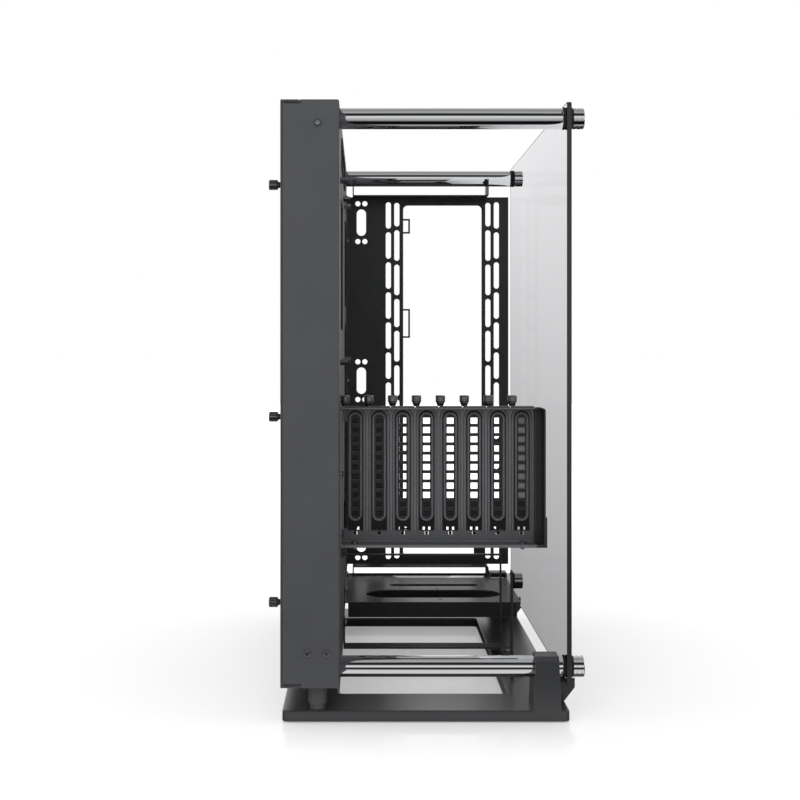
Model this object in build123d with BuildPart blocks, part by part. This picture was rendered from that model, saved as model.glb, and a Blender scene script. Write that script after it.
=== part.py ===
"""Open air test bench: a deep sheet steel tray on a ring base, with chromed posts that carry a glass panel."""

import os

from build123d import *

os.makedirs("parts", exist_ok=True)

# Frame of the model: X runs from the rear cover to the glass, Y from the slot side to the radiator
# side, Z up from the floor. The origin is under the middle of the whole bench.

# Sheet, fits and small hardware
sheet = 1.2
cover_sheet = 1.0
base_sheet = 1.5
cradle_sheet = 1.5
bend_radius = 1.6
fit_gap = 0.3
screw_radius = 1.5
screw_hole_radius = 1.6
screw_head_radius = 3.1
screw_head_height = 1.8
screw_flank_height = 0.63
screw_crown_radius = 1.86
screw_socket_radius = 1.3
screw_socket_depth = 1.08
screw_length = 5.0

# Row of card slots, which sets how far the glass stands off the tray
slot_count = 8
slot_pitch = 20.32
first_slot = 12.9
last_slot_margin = 17.86
slot_frame_width = first_slot + slot_pitch * (slot_count - 1) + last_slot_margin

# Stack across the bench
tray_width = 47.3
slot_glass_gap = 15.3
glass_gap = slot_frame_width + slot_glass_gap
glass_thickness = 4.0
washer_thickness = 2.0
cap_length = 9.6
cover_thumb_collar = 2.6
cover_thumb_head = 7.4
cover_reach = tray_width + cover_sheet + cover_thumb_collar + cover_thumb_head
glass_reach = glass_gap + glass_thickness + washer_thickness + cap_length
face_x = (cover_reach - glass_reach) / 2
back_x = face_x - tray_width
glass_x = face_x + glass_gap
post_end_x = glass_x - washer_thickness
cap_x = glass_x + glass_thickness + washer_thickness

# Base, columns and tray heights
base_height = 10.0
column_height = 21.0
tray_bottom = base_height + column_height
tray_height = 483.0
tray_top = tray_bottom + tray_height
tray_mid = tray_bottom + tray_height / 2
tray_depth = 470.0
near_y = -tray_depth / 2
far_y = tray_depth / 2

# Lips of the rear cover and the step in the tray that takes them
lip_width = 14.6
lip_step = cover_sheet + fit_gap / 2
step_x = back_x + lip_width
return_width = 18.0
cover_bend = 0.9
lip_relief = 3.2

# Posts
post_radius = 8.8
post_inset = 23.0
post_y = tray_depth / 2 - post_inset
post_drop = 12.2
post_rise = 13.0
upper_post_z = tray_top - post_drop
lower_post_z = tray_bottom + post_rise
stud_radius = 2.5
stud_bore_radius = 2.6
cap_stud_length = 14.0
post_screw_length = 12.0
post_bore_depth = 16.0
washer_radius = 9.4
glass_hole_radius = 4.0
glass_margin = 13.0
glass_corner = 3.0
post_edge = 0.6

# Base ring and uprights
base_inset = 10.0
base_depth = tray_depth - 2 * base_inset
base_left = 47.5
base_lead = 2.8
base_right = glass_gap + base_lead
side_rail_left = 46.0
side_rail_right = 46.8
end_rail = 58.0
base_corner = 6.0
opening_corner = 5.0
skirt_gap = 1.0
base_left_x = face_x - base_left
base_right_x = face_x + base_right
base_mid_x = (base_left_x + base_right_x) / 2
opening_left_x = base_left_x + side_rail_left
opening_right_x = base_right_x - side_rail_right
pad_radius = 8.0
upright_inset = 18.9
upright_width = 23.2
upright_top_width = 19.2
upright_depth = 35.0
upright_top_depth = 21.0
upright_shoulder = 21.0
upright_height = 44.4
rest_reach = 8.7
rest_height = 19.0
rest_slope = 11.3
rest_pad_width = 9.0
rest_pad_wrap = 3.0
rest_pad_lap = 1.5

# Columns between base and tray
column_radius = 7.7
column_neck_radius = 6.2
column_neck_height = 5.0
column_setback = 18.2
column_inset = 19.0
column_x = face_x - column_setback
column_y = tray_depth / 2 - column_inset
bolt_radius = 2.5
bolt_hole_radius = 2.7
bolt_head_radius = 4.5
bolt_head_height = 3.0
bolt_socket_radius = 2.0
bolt_socket_floor = 1.2
nut_height = 4.0
bracket_sheet = 2.0
bracket_width = 26.0
bracket_reach = 34.0
bracket_rise = 42.0
clip_width = 20.0
clip_reach = 18.0
clip_drop = 28.8

# Screws in the tray's near and far walls, from the face and from the tray's ends
low_screw_rise = 28.2
low_screw_setbacks = (10.5, 26.2)
top_screw_drop = 19.4
top_screw_setback = 17.7

# Thumb screws of the rear cover
thumb_inset = 12.0
thumb_drops = (68.9, 260.9, 414.4)
thumb_head_radius = 4.2
thumb_collar_radius = 2.8
thumb_shank_length = 5.0
thumb_edge = 0.6
thumb_collar_taper = 0.85
cover_hole_radius = 1.8

# Motherboard field on the tray, with the board's near edge towards the slots
board_inset = 65.0
board_drop = 59.0
board_y = near_y + board_inset
board_z = tray_top - board_drop
board_columns = (0.0, 154.94, 227.33)
board_rows = (0.0, 157.48, 281.94)
standoff_height = 6.5
standoff_across = 5.0
standoff_bore_radius = 1.5
standoff_bore_depth = 5.5
standoff_stud_length = 4.0
cpu_window_width = 120.0
cpu_window_height = 118.0
cpu_window_offset = 77.5
cpu_window_drop = 70.0
cpu_window_y = board_y + cpu_window_offset
cpu_window_z = board_z - cpu_window_drop
window_corner = 8.0
cable_slot_width = 30.0
cable_slot_height = 84.0
cable_slot_corner = 9.0
cable_slot_offset = 264.0
cable_slot_drops = (57.0, 165.0, 273.0)
cable_slot_y = board_y + cable_slot_offset
cable_slot_zs = [board_z - drop for drop in cable_slot_drops]
edge_slot_width = 74.0
edge_slot_height = 22.0
edge_slot_corner = 7.0
top_slot_drop = 30.0
top_slot_offsets = (74.0, 190.0)
top_slot_z = tray_top - top_slot_drop
top_slot_ys = [board_y + offset for offset in top_slot_offsets]
low_slot_drop = 319.0
low_slot_offsets = (74.0, 180.0, 274.0)
low_slot_z = board_z - low_slot_drop
low_slot_ys = [board_y + offset for offset in low_slot_offsets]
grommet_lip = 3.0
grommet_wall = 2.5
grommet_lip_thickness = 1.2
tie_slot_length = 32.0
tie_slot_width = 6.0
tie_slot_insets = (99.0, 49.0)
tie_slot_count = 5
tie_slot_rise = 79.0
tie_slot_pitch = 78.0
tie_slot_ys = [far_y - inset for inset in tie_slot_insets]
tie_slot_zs = [tray_bottom + tie_slot_rise + tie_slot_pitch * index for index in range(tie_slot_count)]

# Slot frame, with the face towards the viewer of the slot side
slot_face_inset = 49.0
slot_flange = 22.0
slot_ledge = 12.0
slot_drop = 311.6
slot_bottom = board_z - slot_drop
slot_height = 116.0
slot_opening_width = 12.1
slot_opening_low = 11.0
slot_opening_top = 3.2
slot_corner = 2.5
rib_spacing = 2.6
rib_groove = 0.7
rib_groove_depth = 0.5
slot_margin_width = 3.0
slot_margin_height = 92.0
slot_margin_x = 4.4
slot_y = near_y + slot_face_inset
slot_top = slot_bottom + slot_height
slot_opening_base = slot_bottom + slot_opening_low
slot_opening_head = slot_top - slot_opening_top
slot_screw_rises = (9.3, 60.3)
slot_screw_zs = [slot_bottom + rise for rise in slot_screw_rises]
slot_screw_setback = 12.0
brace_tab_height = 24.0
brace_near_margin = 12.2
brace_far_margin = 18.2
brace_screw_insets = (brace_near_margin, slot_frame_width - brace_far_margin)

# Slot covers behind the frame, their rims stand in the frame's openings
cover_plate_width = 18.4
cover_plate_sheet = 1.0
rim_width = 11.3
rim_stand = 1.0
rim_wall = 1.3
rim_low = 7.9
rim_top = 1.3
vent_count = 11
vent_pitch = 7.94
vent_width = 5.9
vent_height = 5.2
vent_drop = 0.6
cover_foot_lap = 1.0
tongue_width = 2.4
tongue_length = 4.2
foot_window_width = 1.8
foot_window_height = 2.6
foot_window_spacing = 4.8
catch_width = 3.2
catch_height = 3.0
catch_drop = 1.0
tab_reach = 11.0
slot_thumb_offset = 8.9
slot_thumb_setback = 6.5
slot_thumb_head_radius = 3.8
slot_thumb_head = 6.3
slot_thumb_collar_radius = 2.6
slot_thumb_collar = 3.0
slot_thumb_notch = 1.9

# Rail behind the covers' feet, from the tray's face to the outer end of the slot frame
rail_rise = 16.8
rail_height = 18.4
rail_gap = 0.5
rail_foot = 9.0
rail_pad = 6.5
rail_screw_offset = 7.6
rail_screw_rise = 4.6
rail_base = slot_bottom + rail_rise
rail_screw_points = [(slot_y + rail_screw_offset, rail_base + rail_screw_rise)]

# Radiator plate at the far end of the tray
plate_inset = 4.0
plate_glass_gap = 1.9
plate_width = glass_gap - plate_glass_gap
plate_rise = 29.0
plate_drop = 31.2
plate_bottom = tray_bottom + plate_rise
plate_height = tray_height - plate_rise - plate_drop
plate_flange = 25.0
plate_foot = 20.0
plate_flange_start = 7.2
plate_flange_end = 25.6
ear_reach = 16.0
ear_hook = 7.0
ear_overlap = 2.0
fan_margin = 76.0
fan_axis = plate_width - fan_margin
outer_slot_spacing = 124.5
inner_slot_spacing = 105.0
fan_slot_width = 6.0
outer_slot_margin = 5.68
outer_slot_bridge = 4.24
outer_slot_count = 12
outer_slot_pitch = (plate_height - 2 * outer_slot_margin + outer_slot_bridge) / outer_slot_count
outer_slot_length = outer_slot_pitch - outer_slot_bridge
inner_slot_shares = (0.06433, 0.08325, 0.08325, 0.07663, 0.08373)
inner_middle_share = 0.08325
inner_slot_lengths = [plate_height * share for share in inner_slot_shares]
inner_slot_middle = plate_height * inner_middle_share
inner_slot_gap = 4.4
air_window_width = 90.3
air_window_margin = 9.6
air_window_corner = 5.0
tie_loop_reach = 7.8
tie_loop_wall = 2.0
small_loop_height = 17.0
large_loop_height = 33.4
small_loop_margin = 33.4
small_loop_offset = plate_height / 2 - small_loop_margin
large_loop_offset = 66.0
corner_tab_width = 9.0
corner_tab_height = 28.0
pump_group_x = 17.0
pump_group_margin = 29.2
pump_group_pitch = plate_height / 2 - pump_group_margin
pump_slot_width = 10.7
pump_slot_length = 30.5
pump_hole_radius = 3.0
pump_hole_spacing_x = 8.1
pump_hole_spacing_z = 43.5
plate_screw_offsets = (-160.0, 0.0, 160.0)
plate_screw_setback = 10.0
plate_y = far_y - plate_inset
plate_top = plate_bottom + plate_height
plate_mid = plate_bottom + plate_height / 2

# Pump shelf low in the bay
shelf_post_rise = 7.5
shelf_top = lower_post_z + shelf_post_rise
shelf_depth = 149.0
shelf_post_gap = 24.0
shelf_far_y = post_y - shelf_post_gap
shelf_near_y = shelf_far_y - shelf_depth
shelf_glass_gap = 8.5
shelf_width = glass_gap - shelf_glass_gap
shelf_mid_x = face_x + shelf_width / 2
shelf_skirt = 15.5
shelf_far_skirt = 27.0
shelf_flange = 16.0
shelf_corner = 4.0
shelf_oval_shift = 2.6
shelf_oval_margin = 19.4
shelf_oval_width = shelf_width - 2 * shelf_oval_margin
shelf_oval_depth = 47.0
shelf_oval_setback = 48.0
shelf_slot_shift = 6.5
shelf_slot_length = 97.0
shelf_slot_width = 14.0
shelf_slot_setback = 101.0
shelf_hole_inset = 32.0
shelf_hole_margin = 5.8
shelf_hole_insets = (shelf_hole_inset, shelf_width - shelf_hole_margin)
shelf_hole_setback = 105.0
pump_hole_shift = 8.5
pump_hole_setbacks = (16.0, 75.6)
shelf_hole_radius = 2.2
shelf_screw_setbacks = (25.0, 124.0)
shelf_screw_rise = 8.0

# Power supply cradle on the right rail
cradle_glass_gap = 34.5
cradle_wall = glass_gap - cradle_glass_gap
cradle_inset = 119.0
cradle_near_y = near_y + cradle_inset
cradle_leg = 12.0
cradle_hoop_offset = 108.0
cradle_hoop_y = cradle_near_y + cradle_hoop_offset
cradle_hoop = 5.0
cradle_strap = 21.6
cradle_rise = 76.1
cradle_top = tray_bottom + cradle_rise
cradle_strap_rise = 4.0
cradle_strap_bottom = base_height + cradle_strap_rise
cradle_foot = 13.0
cradle_end_flange = 13.0
cradle_end_width = 16.0
cradle_screw_rise = 7.0
cradle_foot_offsets = (24.0, 110.0)
cradle_foot_screws = [cradle_near_y + offset for offset in cradle_foot_offsets]


def at_x(x: float) -> Plane:
    """Plane across the bench at x: its own axes are Y and Z, and it extrudes towards +X."""
    return Plane.YZ.offset(x)


def at_y(y: float) -> Plane:
    """Plane along the bench at y: its own axes are X and Z, and it extrudes towards -Y."""
    return Plane.XZ.offset(-y)


def at_z(z: float) -> Plane:
    """Level plane at z."""
    return Plane.XY.offset(z)


def finish(builder: BuildPart, label: str) -> None:
    """Name a finished piece and write its file."""
    builder.part.label = label
    export_step(builder.part, f"parts/{label}.step")


class ButtonScrew(BasePartObject):
    """Low domed screw with a socket, seated at its origin, its head towards +Z."""

    def __init__(self, length: float = screw_length, rotation=(0, 0, 0), mode=Mode.ADD):
        with BuildPart() as screw:
            with BuildSketch(Plane.XZ):
                with BuildLine():
                    Polyline(
                        (0, screw_head_height),
                        (0, -length),
                        (screw_radius, -length),
                        (screw_radius, 0),
                        (screw_head_radius, 0),
                        (screw_head_radius, screw_flank_height),
                    )
                    RadiusArc(
                        (screw_head_radius, screw_flank_height),
                        (screw_crown_radius, screw_head_height),
                        -screw_head_radius,
                    )
                    Line((screw_crown_radius, screw_head_height), (0, screw_head_height))
                make_face()
            revolve(axis=Axis.Z)
            with BuildSketch(at_z(screw_head_height)):
                RegularPolygon(screw_socket_radius, 6)
            extrude(amount=-screw_socket_depth, mode=Mode.SUBTRACT)
        super().__init__(part=screw.part, rotation=rotation, align=None, mode=mode)


class ThumbScrew(BasePartObject):
    """Thumb screw on a tapered collar, seated at its origin, its head towards +Z."""

    def __init__(
        self,
        head_radius: float,
        head: float,
        collar_radius: float,
        collar: float,
        length: float,
        rotation=(0, 0, 0),
        mode=Mode.ADD,
    ):
        with BuildPart() as screw:
            with BuildSketch(Plane.XZ):
                with BuildLine():
                    Polyline(
                        (0, collar + head),
                        (0, -length),
                        (screw_radius, -length),
                        (screw_radius, 0),
                        (collar_radius * thumb_collar_taper, 0),
                        (collar_radius, collar),
                        (head_radius - thumb_edge, collar),
                        (head_radius, collar + thumb_edge),
                        (head_radius, collar + head - thumb_edge),
                        (head_radius - thumb_edge, collar + head),
                        close=True,
                    )
                make_face()
            revolve(axis=Axis.Z)
        super().__init__(part=screw.part, rotation=rotation, align=None, mode=mode)


def facing(x: float, y: float, z: float, direction: tuple) -> Plane:
    """Seat of a fastener at a point, its head towards the direction."""
    return Plane(origin=(x, y, z), z_dir=direction)


# Seats shared by the pieces that a screw joins
low_screw_xs = [face_x - setback for setback in low_screw_setbacks]
low_screw_z = tray_bottom + low_screw_rise
top_screw_x = face_x - top_screw_setback
top_screw_z = tray_top - top_screw_drop
thumb_zs = [tray_top - drop for drop in thumb_drops]
thumb_ys = (near_y + thumb_inset, far_y - thumb_inset)
post_points = [(y, z) for y in (-post_y, post_y) for z in (lower_post_z, upper_post_z)]
standoff_points = [(board_y + column, board_z - row) for column in board_columns for row in board_rows]
slot_xs = [face_x + first_slot + slot_pitch * index for index in range(slot_count)]
slot_screw_points = [(slot_y - slot_screw_setback, z) for z in slot_screw_zs]
plate_screw_points = [(plate_y - plate_screw_setback, plate_mid + offset) for offset in plate_screw_offsets]
shelf_screw_points = [(shelf_near_y + setback, shelf_top + shelf_screw_rise) for setback in shelf_screw_setbacks]
cradle_far_y = cradle_hoop_y + cradle_strap
cradle_screw_y = cradle_hoop_y + cradle_end_width / 2
cradle_screw_points = [
    (cradle_screw_y, cradle_top + cradle_screw_rise),
    (cradle_screw_y, tray_bottom + cradle_screw_rise),
]
face_screw_points = slot_screw_points + rail_screw_points + plate_screw_points + shelf_screw_points
face_screw_points += cradle_screw_points
cable_slots = [(cable_slot_y, z, cable_slot_width, cable_slot_height, cable_slot_corner) for z in cable_slot_zs]
cable_slots += [(y, top_slot_z, edge_slot_width, edge_slot_height, edge_slot_corner) for y in top_slot_ys]
cable_slots += [(y, low_slot_z, edge_slot_width, edge_slot_height, edge_slot_corner) for y in low_slot_ys]


# Tray: one folded sheet, open at the back, with a step for the cover's lips
inner_depth = tray_depth - 2 * sheet
inner_height = tray_height - 2 * sheet
stepped_height = tray_height - 2 * lip_step
with BuildPart() as tray_pan:
    with BuildSketch(at_x(step_x)):
        with Locations((0, tray_mid)):
            Rectangle(tray_depth, tray_height)
    extrude(amount=face_x - step_x)
    with BuildSketch(at_x(back_x)):
        with Locations((0, tray_mid)):
            Rectangle(tray_depth, stepped_height)
    extrude(amount=step_x - back_x)
    fillet(tray_pan.faces().sort_by(Axis.X)[-1].edges(), bend_radius)
    fillet(tray_pan.edges().filter_by(Axis.Z).group_by(Axis.X)[0], bend_radius)
    with BuildSketch(at_x(step_x + sheet)):
        with Locations((0, tray_mid)):
            Rectangle(inner_depth, inner_height)
    extrude(amount=face_x - step_x - 2 * sheet, mode=Mode.SUBTRACT)
    with BuildSketch(at_x(back_x + sheet)):
        with Locations((0, tray_mid)):
            Rectangle(inner_depth, stepped_height - 2 * sheet)
    extrude(amount=step_x - back_x, mode=Mode.SUBTRACT)
    with BuildSketch(at_x(back_x)):
        with Locations((0, tray_mid)):
            Rectangle(tray_depth - 2 * return_width, stepped_height - 2 * sheet)
    extrude(amount=sheet, mode=Mode.SUBTRACT)
    # Cut-outs and holes in the face
    with BuildSketch(at_x(face_x)):
        with Locations((cpu_window_y, cpu_window_z)):
            RectangleRounded(cpu_window_width, cpu_window_height, window_corner)
        for y, z, width, height, corner in cable_slots:
            with Locations((y, z)):
                RectangleRounded(width, height, corner)
        with Locations([(y, z) for y in tie_slot_ys for z in tie_slot_zs]):
            SlotOverall(tie_slot_length, tie_slot_width, rotation=90)
        with Locations(post_points):
            Circle(stud_bore_radius)
        with Locations(standoff_points + face_screw_points):
            Circle(screw_hole_radius)
    extrude(amount=-sheet, mode=Mode.SUBTRACT)
    # Threaded holes in the return flanges
    with BuildSketch(at_x(back_x)):
        with Locations([(y, z) for y in thumb_ys for z in thumb_zs]):
            Circle(screw_hole_radius)
    extrude(amount=sheet, mode=Mode.SUBTRACT)
    # Screw holes through the near and far walls
    with BuildSketch(at_y(far_y)):
        with Locations([(x, low_screw_z) for x in low_screw_xs] + [(top_screw_x, top_screw_z)]):
            Circle(screw_hole_radius)
    extrude(amount=tray_depth, mode=Mode.SUBTRACT)
    # Relief in the near and far walls under the cover's lips
    with BuildSketch(at_y(far_y)):
        for z, side in ((tray_top, Align.MAX), (tray_bottom, Align.MIN)):
            with Locations((back_x + bend_radius, z)):
                Rectangle(lip_width - bend_radius + lip_relief / 2, lip_relief, align=(Align.MIN, side))
    extrude(amount=sheet, mode=Mode.SUBTRACT)
    with BuildSketch(at_y(near_y)):
        for z, side in ((tray_top, Align.MAX), (tray_bottom, Align.MIN)):
            with Locations((back_x + bend_radius, z)):
                Rectangle(lip_width - bend_radius + lip_relief / 2, lip_relief, align=(Align.MIN, side))
    extrude(amount=-sheet, mode=Mode.SUBTRACT)
    # Column bolt holes in the floor of the tray
    with BuildSketch(at_z(tray_bottom)):
        with Locations((column_x, -column_y), (column_x, column_y)):
            Circle(bolt_hole_radius)
    extrude(amount=sheet, mode=Mode.SUBTRACT)
finish(tray_pan, "tray_pan")

# Rear cover: a flat sheet with a lip along its top and bottom
with BuildPart() as rear_cover:
    with BuildSketch(at_x(back_x - cover_sheet)):
        with Locations((0, tray_mid)):
            Rectangle(tray_depth, tray_height)
    extrude(amount=cover_sheet + lip_width - fit_gap)
    with BuildSketch(at_x(back_x)):
        with Locations((0, tray_mid)):
            Rectangle(tray_depth, tray_height - 2 * cover_sheet)
    extrude(amount=lip_width, mode=Mode.SUBTRACT)
    fillet(rear_cover.edges().filter_by(Axis.Y).group_by(Axis.X)[0], cover_bend)
    with BuildSketch(at_x(back_x)):
        with Locations([(y, z) for y in thumb_ys for z in thumb_zs]):
            Circle(cover_hole_radius)
    extrude(amount=-cover_sheet, mode=Mode.SUBTRACT)
finish(rear_cover, "rear_cover")

with BuildPart() as cover_thumb_screws:
    with Locations([facing(back_x - cover_sheet, y, z, (-1, 0, 0)) for y in thumb_ys for z in thumb_zs]):
        ThumbScrew(
            thumb_head_radius,
            cover_thumb_head,
            thumb_collar_radius,
            cover_thumb_collar,
            thumb_shank_length,
        )
finish(cover_thumb_screws, "cover_thumb_screws")

# Brackets inside the tray that take the wall screws and the column bolts
with BuildPart() as foot_bracket:
    wall_y = near_y + sheet
    floor_z = tray_bottom + sheet
    with BuildSketch(at_x(column_x - bracket_width / 2)):
        with BuildLine():
            Polyline(
                (wall_y, floor_z),
                (wall_y + bracket_reach, floor_z),
                (wall_y + bracket_reach, floor_z + bracket_sheet),
                (wall_y + bracket_sheet, floor_z + bracket_sheet),
                (wall_y + bracket_sheet, floor_z + bracket_rise),
                (wall_y, floor_z + bracket_rise),
                close=True,
            )
        make_face()
    extrude(amount=bracket_width)
    with BuildSketch(at_y(wall_y + bracket_sheet)):
        with Locations([(x, low_screw_z) for x in low_screw_xs]):
            Circle(screw_hole_radius)
    extrude(amount=bracket_sheet, mode=Mode.SUBTRACT)
    with BuildSketch(at_z(floor_z)):
        with Locations((column_x, -column_y)):
            Circle(bolt_hole_radius)
    extrude(amount=bracket_sheet, mode=Mode.SUBTRACT)
with BuildPart() as foot_brackets:
    add(foot_bracket.part)
    mirror(about=Plane.XZ)
finish(foot_brackets, "foot_brackets")

with BuildPart() as corner_clip:
    roof_z = tray_top - sheet
    with BuildSketch(at_x(top_screw_x - clip_width / 2)):
        with BuildLine():
            Polyline(
                (wall_y, roof_z),
                (wall_y + clip_reach, roof_z),
                (wall_y + clip_reach, roof_z - bracket_sheet),
                (wall_y + bracket_sheet, roof_z - bracket_sheet),
                (wall_y + bracket_sheet, roof_z - clip_drop),
                (wall_y, roof_z - clip_drop),
                close=True,
            )
        make_face()
    extrude(amount=clip_width)
    with BuildSketch(at_y(wall_y + bracket_sheet)):
        with Locations((top_screw_x, top_screw_z)):
            Circle(screw_hole_radius)
    extrude(amount=bracket_sheet, mode=Mode.SUBTRACT)
with BuildPart() as corner_clips:
    add(corner_clip.part)
    mirror(about=Plane.XZ)
finish(corner_clips, "corner_clips")

with BuildPart() as wall_screws:
    near_seats = [facing(x, near_y, low_screw_z, (0, -1, 0)) for x in low_screw_xs]
    near_seats += [facing(top_screw_x, near_y, top_screw_z, (0, -1, 0))]
    with Locations(near_seats):
        ButtonScrew()
    mirror(about=Plane.XZ)
finish(wall_screws, "wall_screws")

# Columns under the tray, with a bolt down through each and a nut under the base sheet
with BuildPart() as base_columns:
    with Locations((column_x, -column_y, base_height), (column_x, column_y, base_height)):
        Cylinder(column_neck_radius, column_neck_height, align=(Align.CENTER, Align.CENTER, Align.MIN))
    neck_z = base_height + column_neck_height
    with Locations((column_x, -column_y, neck_z), (column_x, column_y, neck_z)):
        Cylinder(
            column_radius,
            column_height - column_neck_height,
            align=(Align.CENTER, Align.CENTER, Align.MIN),
        )
    with Locations((column_x, -column_y, base_height), (column_x, column_y, base_height)):
        Cylinder(
            bolt_hole_radius,
            column_height,
            align=(Align.CENTER, Align.CENTER, Align.MIN),
            mode=Mode.SUBTRACT,
        )
finish(base_columns, "base_columns")

bolt_seat_z = tray_bottom + sheet + bracket_sheet
nut_seat_z = base_height - base_sheet
bolt_end_z = nut_seat_z - nut_height
with BuildPart() as column_bolts:
    for y in (-column_y, column_y):
        with Locations((column_x, y, bolt_end_z)):
            Cylinder(bolt_radius, bolt_seat_z - bolt_end_z, align=(Align.CENTER, Align.CENTER, Align.MIN))
        with BuildSketch(at_z(bolt_seat_z)):
            with Locations((column_x, y)):
                RegularPolygon(bolt_head_radius, 6)
        extrude(amount=bolt_head_height)
finish(column_bolts, "column_bolts")

with BuildPart() as column_nuts:
    with BuildSketch(at_z(bolt_end_z)):
        with Locations((column_x, -column_y), (column_x, column_y)):
            RegularPolygon(bolt_head_radius, 6)
            Circle(bolt_radius, mode=Mode.SUBTRACT)
    extrude(amount=nut_height)
finish(column_nuts, "column_nuts")

# Upright: a folded arm on the base that hooks over a lower post and carries the glass rest
upright_x = base_right_x - upright_inset
upright_y = -base_depth / 2
upright_back_y = upright_y + upright_depth
upright_base_z = base_height - base_sheet
upright_top_z = base_height + upright_height
rest_top_z = base_height + rest_height
with BuildPart() as upright:
    with BuildSketch(at_y(upright_back_y)):
        with BuildLine():
            Polyline(
                (upright_x - upright_width / 2, upright_base_z),
                (upright_x + upright_width / 2, upright_base_z),
                (upright_x + upright_top_width / 2, upright_top_z),
                (upright_x - upright_top_width / 2, upright_top_z),
                close=True,
            )
        make_face()
    extrude(amount=upright_depth)
    fillet(upright.edges().filter_by(Axis.X).sort_by(Axis.Z)[-2:].sort_by(Axis.Y)[0], bend_radius * 2)
    with BuildSketch(at_y(upright_back_y)):
        with BuildLine():
            Polyline(
                (upright_x - upright_width / 2 + base_sheet, upright_base_z),
                (upright_x + upright_width / 2 - base_sheet, upright_base_z),
                (upright_x + upright_top_width / 2 - base_sheet, upright_top_z - base_sheet),
                (upright_x - upright_top_width / 2 + base_sheet, upright_top_z - base_sheet),
                close=True,
            )
        make_face()
    extrude(amount=upright_depth - base_sheet, mode=Mode.SUBTRACT)
    with BuildSketch(at_x(upright_x - upright_width)):
        with BuildLine():
            Polyline(
                (upright_back_y, base_height + upright_shoulder),
                (upright_back_y, upright_top_z),
                (upright_y + upright_top_depth, upright_top_z),
                close=True,
            )
        make_face()
    extrude(amount=2 * upright_width, mode=Mode.SUBTRACT)
    with BuildSketch(at_x(upright_x - upright_width)):
        with Locations((-post_y, lower_post_z)):
            Circle(post_radius + fit_gap)
    extrude(amount=2 * upright_width, mode=Mode.SUBTRACT)
    # Glass rest, folded outwards from the back edge of the outer wall
    with BuildSketch(at_y(upright_back_y)):
        with BuildLine():
            Polyline(
                (upright_x + upright_width / 2 - base_sheet, upright_base_z),
                (base_right_x - base_sheet, upright_base_z),
                (base_right_x, base_height),
                (base_right_x + rest_reach, base_height + rest_slope),
                (base_right_x + rest_reach, rest_top_z),
                (upright_x + upright_top_width / 2, rest_top_z),
                close=True,
            )
        make_face()
    extrude(amount=base_sheet)

# Base: a ring of folded sheet, open below, with an upright at each end of the right rail
base_width = base_right_x - base_left_x
opening_width = opening_right_x - opening_left_x
opening_depth = base_depth - 2 * end_rail
opening_x = (opening_left_x + opening_right_x) / 2
with BuildPart() as base_frame:
    with BuildSketch(at_z(skirt_gap)):
        with Locations((base_mid_x, 0)):
            RectangleRounded(base_width, base_depth, base_corner)
        with Locations((opening_x, 0)):
            RectangleRounded(opening_width, opening_depth, opening_corner, mode=Mode.SUBTRACT)
    extrude(amount=base_height - skirt_gap)
    fillet(base_frame.edges().group_by(Axis.Z)[-1], bend_radius)
    with BuildSketch(at_z(skirt_gap)):
        with Locations((base_mid_x, 0)):
            RectangleRounded(base_width - 2 * base_sheet, base_depth - 2 * base_sheet, base_corner - base_sheet)
        with Locations((opening_x, 0)):
            RectangleRounded(
                opening_width + 2 * base_sheet,
                opening_depth + 2 * base_sheet,
                opening_corner + base_sheet,
                mode=Mode.SUBTRACT,
            )
    extrude(amount=base_height - skirt_gap - base_sheet, mode=Mode.SUBTRACT)
    add(upright.part)
    add(upright.part.mirror(Plane.XZ))
    with BuildSketch(at_z(base_height - base_sheet)):
        with Locations((column_x, -column_y), (column_x, column_y)):
            Circle(bolt_hole_radius)
        with Locations([(face_x + cradle_wall + cradle_foot / 2, y) for y in cradle_foot_screws]):
            Circle(screw_hole_radius)
    extrude(amount=base_sheet, mode=Mode.SUBTRACT)
finish(base_frame, "base_frame")

pad_xs = (base_left_x + side_rail_left / 2, base_right_x - side_rail_right / 2)
pad_y = base_depth / 2 - end_rail
with BuildPart() as base_pads:
    with Locations([(x, y, 0) for x in pad_xs for y in (-pad_y, pad_y)]):
        Cylinder(pad_radius, base_height - base_sheet, align=(Align.CENTER, Align.CENTER, Align.MIN))
finish(base_pads, "base_pads")

with BuildPart() as glass_rest_pad:
    pad_depth = base_sheet + 2 * rest_pad_lap
    with Locations((glass_x + glass_thickness / 2, upright_back_y - base_sheet / 2, rest_top_z - rest_pad_wrap)):
        Box(
            rest_pad_width,
            pad_depth,
            tray_bottom - rest_top_z + rest_pad_wrap,
            align=(Align.CENTER, Align.CENTER, Align.MIN),
        )
        Box(
            rest_pad_width,
            base_sheet,
            rest_pad_wrap,
            align=(Align.CENTER, Align.CENTER, Align.MIN),
            mode=Mode.SUBTRACT,
        )
with BuildPart() as glass_rest_pads:
    add(glass_rest_pad.part)
    mirror(about=Plane.XZ)
finish(glass_rest_pads, "glass_rest_pads")

# Posts, each bored at both ends
post_names = {
    (-post_y, lower_post_z): "lower_near_post",
    (-post_y, upper_post_z): "upper_near_post",
    (post_y, lower_post_z): "lower_far_post",
    (post_y, upper_post_z): "upper_far_post",
}
for (y, z), name in post_names.items():
    with BuildPart() as post:
        with BuildSketch(at_x(face_x)):
            with Locations((y, z)):
                Circle(post_radius)
        extrude(amount=post_end_x - face_x)
        chamfer(post.edges().filter_by(GeomType.CIRCLE), post_edge)
        with BuildSketch(at_x(face_x)):
            with Locations((y, z)):
                Circle(stud_bore_radius)
        extrude(amount=post_bore_depth, mode=Mode.SUBTRACT)
        with BuildSketch(at_x(post_end_x)):
            with Locations((y, z)):
                Circle(stud_bore_radius)
        extrude(amount=-post_bore_depth, mode=Mode.SUBTRACT)
    finish(post, name)

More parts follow.
